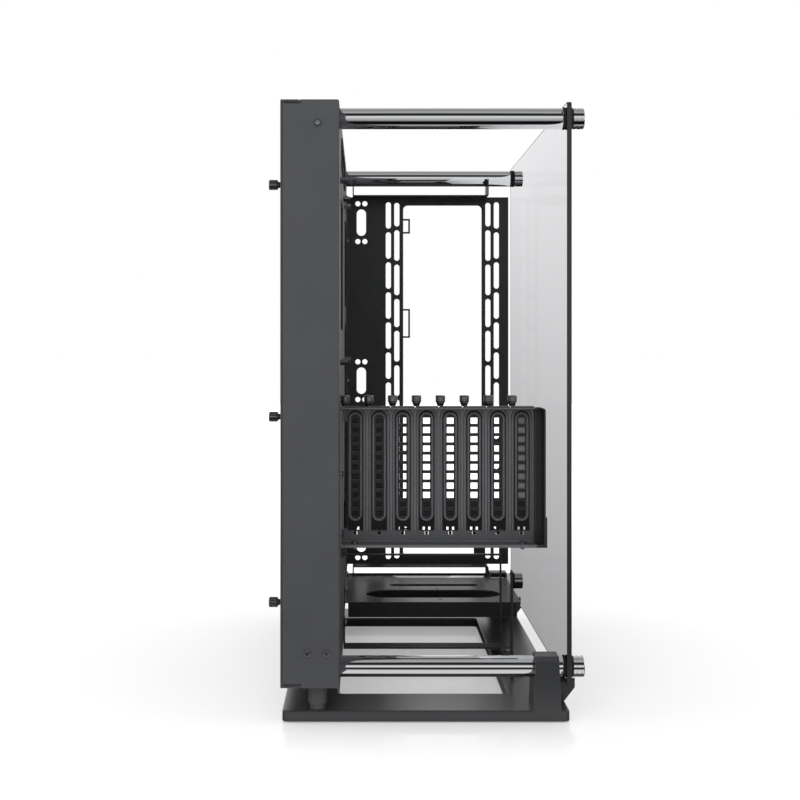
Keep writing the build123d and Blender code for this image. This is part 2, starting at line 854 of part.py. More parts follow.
with BuildPart() as post_screws:
    with BuildSketch(at_x(face_x - sheet)):
        with Locations(post_points):
            Circle(stud_radius)
    extrude(amount=post_screw_length)
    with BuildSketch(at_x(face_x - sheet)):
        with Locations(post_points):
            Circle(bolt_head_radius)
            RegularPolygon(bolt_socket_radius, 6, mode=Mode.SUBTRACT)
    extrude(amount=-bolt_head_height)
    with BuildSketch(at_x(face_x - sheet)):
        with Locations(post_points):
            Circle(bolt_head_radius)
    extrude(amount=-bolt_socket_floor)
finish(post_screws, "post_screws")

# Glass, with its washers and caps
glass_depth = 2 * (post_y + glass_margin)
with BuildPart() as glass_panel:
    with BuildSketch(at_x(glass_x)):
        with Locations((0, tray_mid)):
            RectangleRounded(glass_depth, tray_height, glass_corner)
        with Locations(post_points):
            Circle(glass_hole_radius, mode=Mode.SUBTRACT)
    extrude(amount=glass_thickness)
finish(glass_panel, "glass_panel")

with BuildPart() as glass_washers:
    for x in (post_end_x, glass_x + glass_thickness):
        with BuildSketch(at_x(x)):
            with Locations(post_points):
                Circle(washer_radius)
                Circle(stud_bore_radius, mode=Mode.SUBTRACT)
        extrude(amount=washer_thickness)
finish(glass_washers, "glass_washers")

with BuildPart() as post_caps:
    with BuildSketch(at_x(cap_x)):
        with Locations(post_points):
            Circle(post_radius)
    extrude(amount=cap_length)
    chamfer(post_caps.edges().filter_by(GeomType.CIRCLE).group_by(Axis.X)[-1], post_edge)
    with BuildSketch(at_x(cap_x)):
        with Locations(post_points):
            Circle(stud_radius)
    extrude(amount=-cap_stud_length)
finish(post_caps, "post_caps")

# Slot frame: face with an opening for each slot, side flange on the tray, ledge on top
slot_right_x = face_x + slot_frame_width
slot_front_y = slot_y - slot_flange
with BuildPart() as slot_frame:
    with BuildSketch(at_y(slot_y + sheet)):
        with Locations((face_x + slot_frame_width / 2, slot_bottom + slot_height / 2)):
            Rectangle(slot_frame_width, slot_height)
    extrude(amount=slot_flange + sheet)
    fillet(slot_frame.edges().filter_by(Axis.Y).group_by(Axis.X)[-1].sort_by(Axis.Z)[-1], slot_corner)
    with BuildSketch(at_y(slot_y)):
        with Locations((face_x + slot_frame_width / 2, slot_bottom + slot_height / 2)):
            RectangleRounded(slot_frame_width - 2 * sheet, slot_height - 2 * sheet, slot_corner - sheet)
    extrude(amount=slot_flange, mode=Mode.SUBTRACT)
    # The ledge is shallower than the side and bottom flanges
    with BuildSketch(at_z(slot_top - slot_corner)):
        with Locations((face_x, slot_front_y)):
            Rectangle(
                slot_frame_width - slot_corner,
                slot_flange - slot_ledge,
                align=(Align.MIN, Align.MIN),
            )
    extrude(amount=slot_corner, mode=Mode.SUBTRACT)
    # Openings, with a round head and a square foot
    with BuildSketch(at_y(slot_y + sheet)):
        for x in slot_xs:
            with Locations((x, slot_opening_head - slot_opening_width / 2)):
                Circle(slot_opening_width / 2)
            with Locations((x, slot_opening_base)):
                Rectangle(
                    slot_opening_width,
                    slot_opening_head - slot_opening_base - slot_opening_width / 2,
                    align=(Align.CENTER, Align.MIN),
                )
        with Locations([(x, slot_opening_base - catch_drop) for x in slot_xs]):
            Rectangle(catch_width, catch_height, align=(Align.CENTER, Align.MAX))
        with Locations((face_x + slot_margin_x, slot_bottom + slot_height / 2)):
            SlotOverall(slot_margin_height, slot_margin_width, rotation=90)
    extrude(amount=sheet, mode=Mode.SUBTRACT)
    # Pairs of pressed grooves on the bars between the openings
    with BuildSketch(at_y(slot_y)):
        for x in slot_xs:
            with Locations(
                (x + (slot_pitch - rib_spacing) / 2, (slot_opening_base + slot_opening_head) / 2),
                (x + (slot_pitch + rib_spacing) / 2, (slot_opening_base + slot_opening_head) / 2),
            ):
                Rectangle(rib_groove, slot_opening_head - slot_opening_base)
    extrude(amount=-rib_groove_depth, mode=Mode.SUBTRACT)
    # Screw holes in the side flange, the ledge and the bottom flange
    with BuildSketch(at_x(face_x)):
        with Locations(slot_screw_points):
            Circle(screw_hole_radius)
    extrude(amount=sheet, mode=Mode.SUBTRACT)
    with BuildSketch(at_z(slot_top)):
        with Locations([(x - slot_thumb_offset, slot_y - slot_thumb_setback) for x in slot_xs]):
            Circle(screw_hole_radius)
    extrude(amount=-sheet, mode=Mode.SUBTRACT)
    with BuildSketch(at_z(slot_bottom)):
        with Locations([(face_x + inset, slot_y - slot_flange / 2) for inset in brace_screw_insets]):
            Circle(screw_hole_radius)
    extrude(amount=sheet, mode=Mode.SUBTRACT)
finish(slot_frame, "slot_frame")

# Brace under the slot frame, with a tab up its outer side
with BuildPart() as slot_brace:
    with BuildSketch(at_y(slot_y)):
        with BuildLine():
            Polyline(
                (face_x, slot_bottom - sheet),
                (slot_right_x + sheet, slot_bottom - sheet),
                (slot_right_x + sheet, slot_bottom + brace_tab_height),
                (slot_right_x, slot_bottom + brace_tab_height),
                (slot_right_x, slot_bottom),
                (face_x, slot_bottom),
                close=True,
            )
        make_face()
    extrude(amount=slot_flange)
    with BuildSketch(at_z(slot_bottom)):
        with Locations([(face_x + inset, slot_y - slot_flange / 2) for inset in brace_screw_insets]):
            Circle(screw_hole_radius)
    extrude(amount=-sheet, mode=Mode.SUBTRACT)
finish(slot_brace, "slot_brace")

# Slot covers: plate behind the frame, raised rim through the opening, tab over the ledge
cover_front_y = slot_y + sheet
cover_back_y = cover_front_y + cover_plate_sheet
rim_base = slot_bottom + slot_opening_low + rim_low
rim_head = slot_opening_head - rim_top
rim_middle = (rim_base + rim_head) / 2
rim_height = rim_head - rim_base
plate_base = slot_opening_base - cover_foot_lap
tab_top = slot_top + cover_plate_sheet
with BuildPart() as slot_covers:
    with BuildSketch(at_y(cover_back_y)):
        for x in slot_xs:
            with Locations((x, plate_base)):
                Rectangle(cover_plate_width, tab_top - plate_base, align=(Align.CENTER, Align.MIN))
            with Locations((x, plate_base)):
                Rectangle(tongue_width, tongue_length, align=(Align.CENTER, Align.MAX))
    extrude(amount=cover_plate_sheet)
    with BuildSketch(at_y(cover_front_y)):
        with Locations([(x, rim_middle) for x in slot_xs]):
            SlotOverall(rim_height, rim_width, rotation=90)
    extrude(amount=sheet + rim_stand)
    with BuildSketch(at_y(cover_front_y)):
        with Locations([(x, rim_middle) for x in slot_xs]):
            SlotOverall(rim_height - 2 * rim_wall, rim_width - 2 * rim_wall, rotation=90)
    extrude(amount=sheet + rim_stand, mode=Mode.SUBTRACT)
    with BuildSketch(at_y(cover_back_y)):
        vent_middle = rim_middle - vent_drop
        vent_zs = [vent_middle + vent_pitch * (index - (vent_count - 1) / 2) for index in range(vent_count)]
        with Locations([(x, z) for x in slot_xs for z in vent_zs]):
            Rectangle(vent_width, vent_height)
        for x in slot_xs:
            with Locations(
                (x - foot_window_spacing / 2, slot_opening_base),
                (x + foot_window_spacing / 2, slot_opening_base),
            ):
                Rectangle(foot_window_width, foot_window_height, align=(Align.CENTER, Align.MIN))
    extrude(amount=cover_plate_sheet, mode=Mode.SUBTRACT)
    with BuildSketch(at_z(slot_top)):
        for x in slot_xs:
            with Locations((x, cover_back_y)):
                Rectangle(
                    cover_plate_width,
                    cover_plate_sheet + sheet + tab_reach,
                    align=(Align.CENTER, Align.MAX),
                )
        for x in slot_xs:
            for screw_x in (x - slot_thumb_offset, x - slot_thumb_offset + slot_pitch):
                with Locations((screw_x, slot_y - slot_thumb_setback)):
                    Circle(slot_thumb_notch, mode=Mode.SUBTRACT)
    extrude(amount=cover_plate_sheet)
finish(slot_covers, "slot_covers")

# Rail, with a foot on the tray and its outer end pressed forward against the frame
rail_front_y = cover_back_y + rail_gap
rail_back_y = rail_front_y + sheet
with BuildPart() as cover_rail:
    with BuildSketch(at_y(rail_back_y)):
        with Locations((face_x, rail_base)):
            Rectangle(slot_frame_width - sheet, rail_height, align=(Align.MIN, Align.MIN))
    extrude(amount=sheet)
    with BuildSketch(at_x(face_x)):
        with Locations((rail_front_y, rail_base)):
            Rectangle(rail_foot, rail_height, align=(Align.MIN, Align.MIN))
        with Locations(rail_screw_points):
            Circle(screw_hole_radius, mode=Mode.SUBTRACT)
    extrude(amount=sheet)
    with BuildSketch(at_y(rail_front_y)):
        with Locations((slot_right_x - sheet, rail_base)):
            Rectangle(rail_pad, rail_height, align=(Align.MAX, Align.MIN))
    extrude(amount=rail_front_y - cover_front_y)
finish(cover_rail, "cover_rail")

with BuildPart() as slot_thumb_screws:
    with Locations([(x - slot_thumb_offset, slot_y - slot_thumb_setback, tab_top) for x in slot_xs]):
        ThumbScrew(
            slot_thumb_head_radius,
            slot_thumb_head,
            slot_thumb_collar_radius,
            slot_thumb_collar,
            thumb_shank_length,
        )
finish(slot_thumb_screws, "slot_thumb_screws")

# Radiator plate: slotted face, flanges top and bottom, and ears that hook the far posts
plate_right_x = face_x + plate_width
flange_left_x = face_x + plate_flange_start
flange_right_x = plate_right_x - plate_flange_end
fan_x = face_x + fan_axis
ear_near_y = post_y - ear_reach
flange_near_y = plate_y - plate_flange
with BuildPart() as radiator_plate:
    with BuildSketch(at_y(plate_y + sheet)):
        with Locations((face_x, plate_bottom)):
            Rectangle(plate_width, plate_height, align=(Align.MIN, Align.MIN))
    extrude(amount=sheet)
    with BuildSketch(at_y(plate_y)):
        for x in (fan_x - outer_slot_spacing / 2, fan_x + outer_slot_spacing / 2):
            for index in range(outer_slot_count):
                offset = outer_slot_pitch * (index - (outer_slot_count - 1) / 2)
                with Locations((x, plate_mid + offset)):
                    SlotOverall(outer_slot_length, fan_slot_width, rotation=90)
        for x in (fan_x - inner_slot_spacing / 2, fan_x + inner_slot_spacing / 2):
            with Locations((x, plate_mid)):
                SlotOverall(inner_slot_middle, fan_slot_width, rotation=90)
            edge = inner_slot_middle / 2
            for length in reversed(inner_slot_lengths):
                middle = edge + inner_slot_gap + length / 2
                with Locations((x, plate_mid + middle), (x, plate_mid - middle)):
                    SlotOverall(length, fan_slot_width, rotation=90)
                edge += inner_slot_gap + length
        with Locations((fan_x, plate_mid)):
            RectangleRounded(air_window_width, plate_height - 2 * air_window_margin, air_window_corner)
        for offset in (-pump_group_pitch, 0, pump_group_pitch):
            with Locations((face_x + pump_group_x, plate_mid + offset)):
                SlotOverall(pump_slot_length, pump_slot_width, rotation=90)
                with GridLocations(pump_hole_spacing_x, pump_hole_spacing_z, 2, 2):
                    Circle(pump_hole_radius)
    extrude(amount=-sheet, mode=Mode.SUBTRACT)
    # Tie loops and a lug, left in the sheet at the edges of the air window
    window_left_x = fan_x - air_window_width / 2
    window_right_x = fan_x + air_window_width / 2
    window_bottom_z = plate_bottom + air_window_margin
    with BuildSketch(at_y(plate_y + sheet)):
        loops = [(small_loop_offset, small_loop_height), (large_loop_offset, large_loop_height)]
        loops += [(-offset, height) for offset, height in loops]
        for offset, height in loops:
            with Locations((window_left_x, plate_mid + offset)):
                Rectangle(tie_loop_reach, height, align=(Align.MIN, Align.CENTER))
                Rectangle(
                    tie_loop_reach - tie_loop_wall,
                    height - 2 * tie_loop_wall,
                    align=(Align.MIN, Align.CENTER),
                    mode=Mode.SUBTRACT,
                )
        with Locations((window_right_x, window_bottom_z)):
            Rectangle(corner_tab_width, corner_tab_height, align=(Align.MAX, Align.MIN))
    extrude(amount=sheet)
    # Side flange on the tray
    with BuildSketch(at_x(face_x)):
        with Locations((plate_y, plate_mid)):
            Rectangle(plate_foot, plate_height, align=(Align.MAX, Align.CENTER))
        with Locations(plate_screw_points):
            Circle(screw_hole_radius, mode=Mode.SUBTRACT)
    extrude(amount=sheet)
    # Top and bottom flanges
    for z in (plate_top - sheet, plate_bottom):
        with BuildSketch(at_z(z)):
            with Locations((flange_left_x, plate_y)):
                Rectangle(flange_right_x - flange_left_x, plate_flange, align=(Align.MIN, Align.MAX))
        extrude(amount=sheet)
    # Ears at both ends of each flange, notched for the post
    for x in (flange_left_x, flange_right_x - sheet):
        with BuildSketch(at_x(x)):
            with BuildLine():
                Polyline(
                    (ear_near_y, plate_top - sheet),
                    (plate_y, plate_top - sheet),
                    (post_y + post_radius + ear_hook, upper_post_z - ear_overlap),
                    (ear_near_y, upper_post_z - ear_overlap),
                    close=True,
                )
            make_face()
            with BuildLine():
                Polyline(
                    (ear_near_y, plate_bottom + sheet),
                    (plate_y, plate_bottom + sheet),
                    (post_y + post_radius + ear_hook, lower_post_z + ear_overlap),
                    (ear_near_y, lower_post_z + ear_overlap),
                    close=True,
                )
            make_face()
            with Locations((post_y, upper_post_z), (post_y, lower_post_z)):
                Circle(post_radius + fit_gap, mode=Mode.SUBTRACT)
        extrude(amount=sheet)
finish(radiator_plate, "radiator_plate")

# Pump shelf: plate with a side flange on the tray and a skirt at each end
with BuildPart() as pump_shelf:
    with BuildSketch(at_z(shelf_top - sheet)):
        with Locations((face_x, shelf_near_y)):
            Rectangle(shelf_width, shelf_depth, align=(Align.MIN, Align.MIN))
        with Locations((shelf_mid_x + shelf_oval_shift, shelf_near_y + shelf_oval_setback)):
            SlotOverall(shelf_oval_width, shelf_oval_depth, mode=Mode.SUBTRACT)
        with Locations((shelf_mid_x + shelf_slot_shift, shelf_near_y + shelf_slot_setback)):
            SlotOverall(shelf_slot_length, shelf_slot_width, mode=Mode.SUBTRACT)
        with Locations([(shelf_mid_x + pump_hole_shift, shelf_near_y + setback) for setback in pump_hole_setbacks]):
            Circle(shelf_hole_radius, mode=Mode.SUBTRACT)
        with Locations([(face_x + inset, shelf_near_y + shelf_hole_setback) for inset in shelf_hole_insets]):
            Circle(shelf_hole_radius, mode=Mode.SUBTRACT)
    extrude(amount=sheet)
    fillet(
        pump_shelf.edges().filter_by(Axis.Z).group_by(Axis.X)[-1],
        shelf_corner,
    )
    with BuildSketch(at_x(face_x)):
        with Locations((shelf_near_y, shelf_top - sheet)):
            Rectangle(shelf_depth, shelf_flange, align=(Align.MIN, Align.MIN))
        with Locations(shelf_screw_points):
            Circle(screw_hole_radius, mode=Mode.SUBTRACT)
    extrude(amount=sheet)
    for y, skirt in ((shelf_near_y + sheet, shelf_skirt), (shelf_far_y, shelf_far_skirt)):
        with BuildSketch(at_y(y)):
            with Locations((face_x + shelf_corner, shelf_top)):
                Rectangle(shelf_width - 2 * shelf_corner, skirt, align=(Align.MIN, Align.MAX))
        extrude(amount=sheet)
finish(pump_shelf, "pump_shelf")

# Power supply cradle: a leg and a hoop on a foot along the right rail, with a strap to the tray below
cradle_x = face_x + cradle_wall
cradle_foot_y = cradle_near_y + cradle_leg
with BuildPart() as psu_cradle:
    with BuildSketch(at_x(cradle_x)):
        with Locations((cradle_near_y, base_height)):
            Rectangle(cradle_leg, cradle_top - base_height, align=(Align.MIN, Align.MIN))
            Rectangle(
                cradle_far_y - cradle_near_y,
                cradle_strap_bottom + cradle_sheet - base_height,
                align=(Align.MIN, Align.MIN),
            )
        with Locations((cradle_hoop_y, base_height)):
            Rectangle(cradle_hoop, cradle_top - base_height, align=(Align.MIN, Align.MIN))
    extrude(amount=cradle_sheet)
    with BuildSketch(at_z(base_height)):
        with Locations((cradle_x, cradle_foot_y)):
            Rectangle(cradle_foot, cradle_far_y - cradle_foot_y, align=(Align.MIN, Align.MIN))
        with Locations([(cradle_x + cradle_foot / 2, y) for y in cradle_foot_screws]):
            Circle(screw_hole_radius, mode=Mode.SUBTRACT)
    extrude(amount=cradle_sheet)
    with BuildSketch(at_z(cradle_top - cradle_sheet)):
        with Locations((face_x, cradle_hoop_y)):
            Rectangle(cradle_wall + cradle_sheet, cradle_hoop, align=(Align.MIN, Align.MIN))
    extrude(amount=cradle_sheet)
    with BuildSketch(at_z(cradle_strap_bottom)):
        with Locations((face_x, cradle_hoop_y)):
            Rectangle(cradle_wall + cradle_sheet, cradle_strap, align=(Align.MIN, Align.MIN))
    extrude(amount=cradle_sheet)
    with BuildSketch(at_x(face_x)):
        with Locations((cradle_hoop_y, cradle_top - cradle_sheet)):
            Rectangle(cradle_end_width, cradle_end_flange + cradle_sheet, align=(Align.MIN, Align.MIN))
        with Locations((cradle_hoop_y, cradle_strap_bottom)):
            Rectangle(
                cradle_end_width,
                tray_bottom + cradle_end_flange - cradle_strap_bottom,
                align=(Align.MIN, Align.MIN),
            )
        with Locations(cradle_screw_points):
            Circle(screw_hole_radius, mode=Mode.SUBTRACT)
    extrude(amount=cradle_sheet)
finish(psu_cradle, "psu_cradle")

# Screws that hold the inner sheets to the tray, the brace and the base
with BuildPart() as face_screws:
    seats = [facing(face_x + sheet, y, z, (1, 0, 0)) for y, z in face_screw_points[: -len(cradle_screw_points)]]
    seats += [facing(face_x + cradle_sheet, y, z, (1, 0, 0)) for y, z in cradle_screw_points]
    with Locations(seats):
        ButtonScrew()
finish(face_screws, "face_screws")

with BuildPart() as brace_screws:
    with Locations([(face_x + inset, slot_y - slot_flange / 2, slot_bottom + sheet) for inset in brace_screw_insets]):
        ButtonScrew()
finish(brace_screws, "brace_screws")

with BuildPart() as cradle_foot_fasteners:
    with Locations([(cradle_x + cradle_foot / 2, y, base_height + cradle_sheet) for y in cradle_foot_screws]):
        ButtonScrew()
finish(cradle_foot_fasteners, "cradle_screws")

# Motherboard standoffs and cable grommets
with BuildPart() as standoffs:
    with BuildSketch(at_x(face_x)):
        with Locations(standoff_points):
            RegularPolygon(standoff_across / 2, 6, major_radius=False)
    extrude(amount=standoff_height)
    with BuildSketch(at_x(face_x)):
        with Locations(standoff_points):
            Circle(screw_radius)
    extrude(amount=-standoff_stud_length)
    with BuildSketch(at_x(face_x + standoff_height)):
        with Locations(standoff_points):
            Circle(standoff_bore_radius)
    extrude(amount=-standoff_bore_depth, mode=Mode.SUBTRACT)
finish(standoffs, "standoffs")

with BuildPart() as cable_grommets:
    for x, thickness in ((face_x, grommet_lip_thickness), (face_x - sheet, -grommet_lip_thickness)):
        with BuildSketch(at_x(x)):
            for y, z, width, height, corner in cable_slots:
                with Locations((y, z)):
                    RectangleRounded(width + 2 * grommet_lip, height + 2 * grommet_lip, corner + grommet_lip)
        extrude(amount=thickness)
    with BuildSketch(at_x(face_x)):
        for y, z, width, height, corner in cable_slots:
            with Locations((y, z)):
                RectangleRounded(width, height, corner)
    extrude(amount=-sheet)
    with BuildSketch(at_x(face_x + grommet_lip_thickness)):
        for y, z, width, height, corner in cable_slots:
            with Locations((y, z)):
                RectangleRounded(width - 2 * grommet_wall, height - 2 * grommet_wall, corner - grommet_wall)
    extrude(amount=-(sheet + 2 * grommet_lip_thickness), mode=Mode.SUBTRACT)
finish(cable_grommets, "cable_grommets")
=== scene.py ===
"""Open air test bench: chromed posts, smoked glass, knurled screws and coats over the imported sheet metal."""

import logging
import math
from dataclasses import dataclass
from enum import Enum
from typing import Any, Iterable, Mapping, Optional, Sequence, Union

import bmesh
import bpy
from mathutils import Matrix, Vector


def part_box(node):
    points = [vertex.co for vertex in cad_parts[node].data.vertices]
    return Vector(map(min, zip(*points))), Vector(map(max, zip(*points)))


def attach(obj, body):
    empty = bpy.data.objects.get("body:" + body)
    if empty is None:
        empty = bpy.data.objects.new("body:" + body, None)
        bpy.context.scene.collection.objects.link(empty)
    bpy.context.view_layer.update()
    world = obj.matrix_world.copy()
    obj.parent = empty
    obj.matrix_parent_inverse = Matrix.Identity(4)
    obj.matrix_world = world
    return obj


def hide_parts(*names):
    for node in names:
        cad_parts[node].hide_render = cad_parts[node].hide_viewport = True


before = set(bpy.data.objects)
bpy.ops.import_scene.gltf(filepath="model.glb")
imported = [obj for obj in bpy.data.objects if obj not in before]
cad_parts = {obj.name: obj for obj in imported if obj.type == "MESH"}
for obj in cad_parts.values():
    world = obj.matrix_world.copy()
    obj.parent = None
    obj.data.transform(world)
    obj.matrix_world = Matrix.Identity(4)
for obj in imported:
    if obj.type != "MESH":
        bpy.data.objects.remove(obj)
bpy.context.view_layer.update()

MM = 0.001
BODY = "root"
WHITE = (1.0, 1.0, 1.0, 1.0)
PLAIN_IOR = 1.5

# Sizes of the slot row, in mm
SLOT_COUNT = 8
SLOT_PITCH = 20.32
COVER_WIDTH = 18.4

# The part of a noise's range that most of its values fill
NOISE_LOW = 0.3
NOISE_HIGH = 0.7

log = logging.getLogger("test_bench")


class Facing(Enum):
    """Which way the top of a turned piece points."""

    REAR = (-1.0, 0.0, 0.0)
    GLASS = (1.0, 0.0, 0.0)
    UP = (0.0, 0.0, 1.0)

    def place(self, x: float, y: float, z: float) -> Matrix:
        """Matrix from a piece turned about Z at the origin to its seat.

        Args:
            x: Seat along the bench's width, in mm.
            y: Seat along its depth, in mm.
            z: Seat above the floor, in mm.

        Returns:
            The matrix, in metres.
        """
        turn = Vector((0, 0, 1)).rotation_difference(Vector(self.value)).to_matrix().to_4x4()
        return Matrix.Translation((x * MM, y * MM, z * MM)) @ turn


def linear(colour: str) -> tuple[float, float, float, float]:
    """Turn an sRGB hex colour to the linear values of a socket.

    Args:
        colour: Colour such as "#404244".

    Returns:
        Red, green, blue and an alpha of 1.
    """
    parts = [int(colour[start:start + 2], 16) / 255 for start in (1, 3, 5)]
    red, green, blue = (part / 12.92 if part <= 0.04045 else ((part + 0.055) / 1.055) ** 2.4 for part in parts)
    return red, green, blue, 1.0


def grey(level: float) -> tuple[float, float, float, float]:
    """Linear grey from an 8-bit sRGB level."""
    return linear("#" + f"{round(level):02x}" * 3)


def add_node(
    tree: bpy.types.NodeTree,
    kind: str,
    inputs: Optional[Mapping[Union[str, int], Any]] = None,
    **settings: Any,
) -> bpy.types.Node:
    """Add a node with its settings, values and links.

    Args:
        tree: Tree that gets the node.
        kind: The node's type name.
        inputs: For each socket, by name or number, a value or the output that it is linked to.
        **settings: Properties of the node.

    Returns:
        The new node.
    """
    node = tree.nodes.new(kind)
    for name, value in settings.items():
        setattr(node, name, value)
    for name, value in (inputs or {}).items():
        if isinstance(value, bpy.types.NodeSocket):
            tree.links.new(value, node.inputs[name])
        else:
            node.inputs[name].default_value = value
    return node


def new_tree(name: str) -> tuple[bpy.types.Material, bpy.types.NodeTree]:
    """New node material with an empty tree.

    Args:
        name: The material's name.

    Returns:
        The material and its tree.
    """
    material = bpy.data.materials.new(name)
    material.use_nodes = True
    material.node_tree.nodes.clear()
    return material, material.node_tree


def ramp_stops(ramp: bpy.types.ShaderNodeValToRGB, stops: Sequence[tuple[float, tuple]]) -> None:
    """Set the stops of a colour ramp.

    Args:
        ramp: The ramp's node.
        stops: Place and colour of each stop, in rising order.
    """
    elements = ramp.color_ramp.elements
    while len(elements) < len(stops):
        elements.new(1.0)
    for element, (place, colour) in zip(elements, stops):
        element.position = place
        element.color = colour


@dataclass(frozen=True)
class PowderCoat:
    """Black powder coat, baked on folded steel: a soft even gloss, a fine orange peel and paler edges, partly worn
    and partly a painted highlight.
    """

    name: str
    colour: str
    # Paler colour at the edges: partly wear, partly a painted highlight
    wear_and_highlight_colour: str
    roughness: float
    specular: float
    peel_mm: float = 0.9
    peel_height_mm: float = 0.012
    peel_strength: float = 0.6
    grit_mm: float = 0.45
    grit_share: float = 0.18
    cloud_mm: float = 60.0
    cloud_share: float = 0.05
    edge_mm: float = 0.45
    wear_and_highlight_share: float = 0.6
    edge_turn: tuple[float, float] = (0.995, 0.86)
    uneven_shine: float = 0.05

    def material(self) -> bpy.types.Material:
        """Make the coat's material.

        Returns:
            The material, on Object coordinates.
        """
        material, tree = new_tree(self.name)
        where = add_node(tree, "ShaderNodeTexCoord").outputs["Object"]
        # Grit in the powder, drawn at the finest grain that a picture of the whole bench can show
        grit = add_node(
            tree, "ShaderNodeTexNoise", {"Vector": where, "Scale": 1 / (self.grit_mm * MM), "Detail": 2.0}
        )
        cloud = add_node(
            tree, "ShaderNodeTexNoise", {"Vector": where, "Scale": 1 / (self.cloud_mm * MM), "Detail": 3.0}
        )
        speck, patch = (
            add_node(
                tree,
                "ShaderNodeMapRange",
                {
                    "Value": noise.outputs[0],
                    "From Min": NOISE_LOW,
                    "From Max": NOISE_HIGH,
                    "To Min": 1 - share,
                    "To Max": 1 + share,
                },
            )
            for noise, share in ((grit, self.grit_share), (cloud, self.cloud_share))
        )
        tone = add_node(tree, "ShaderNodeMath", {0: speck.outputs[0], 1: patch.outputs[0]}, operation="MULTIPLY")
        body = add_node(
            tree,
            "ShaderNodeVectorMath",
            {0: linear(self.colour)[:3], "Scale": tone.outputs[0]},
            operation="SCALE",
        )
        # Folds and cut edges are painted paler, partly wear and partly a painted highlight, where the bevelled
        # normal turns away from the flat one
        rounded = add_node(tree, "ShaderNodeBevel", {"Radius": self.edge_mm * MM}, samples=4)
        flat = add_node(tree, "ShaderNodeNewGeometry").outputs["True Normal"]
        turn = add_node(
            tree, "ShaderNodeVectorMath", {0: rounded.outputs[0], 1: flat}, operation="DOT_PRODUCT"
        )
        wear_and_highlight = add_node(
            tree,
            "ShaderNodeMapRange",
            {
                "Value": turn.outputs["Value"],
                "From Min": self.edge_turn[0],
                "From Max": self.edge_turn[1],
                "To Min": 0.0,
                "To Max": self.wear_and_highlight_share,
            },
        )
        colour = add_node(
            tree,
            "ShaderNodeMix",
            {"Factor": wear_and_highlight.outputs[0], 6: body.outputs[0], 7: linear(self.wear_and_highlight_colour)},
            data_type="RGBA",
        )
        peel = add_node(
            tree, "ShaderNodeTexNoise", {"Vector": where, "Scale": 1 / (self.peel_mm * MM), "Detail": 1.0}
        )
        bump = add_node(
            tree,
            "ShaderNodeBump",
            {
                "Height": peel.outputs[0],
                "Distance": self.peel_height_mm * MM,
                "Strength": self.peel_strength,
                "Normal": rounded.outputs[0],
            },
        )
        rough = add_node(
            tree,
            "ShaderNodeMapRange",
            {
                "Value": grit.outputs[0],
                "From Min": NOISE_LOW,
                "From Max": NOISE_HIGH,
                "To Min": self.roughness - self.uneven_shine,
                "To Max": self.roughness + self.uneven_shine,
            },
        )
        shader = add_node(
            tree,
            "ShaderNodeBsdfPrincipled",
            {
                "Base Color": self.shaded(tree, where, colour.outputs[2]),
                "Roughness": rough.outputs[0],
                "Specular IOR Level": self.specular,
                "IOR": PLAIN_IOR,
                "Normal": bump.outputs[0],
            },
        )
        add_node(tree, "ShaderNodeOutputMaterial", {"Surface": shader.outputs[0]})
        return material

    def shaded(
        self, tree: bpy.types.NodeTree, where: bpy.types.NodeSocket, colour: bpy.types.NodeSocket
    ) -> bpy.types.NodeSocket:
        """Colour as it comes off the oven, with nothing added.

        Args:
            tree: The material's tree.
            where: Object coordinates.
            colour: The coat's colour.

        Returns:
            The colour to show.
        """
        return colour


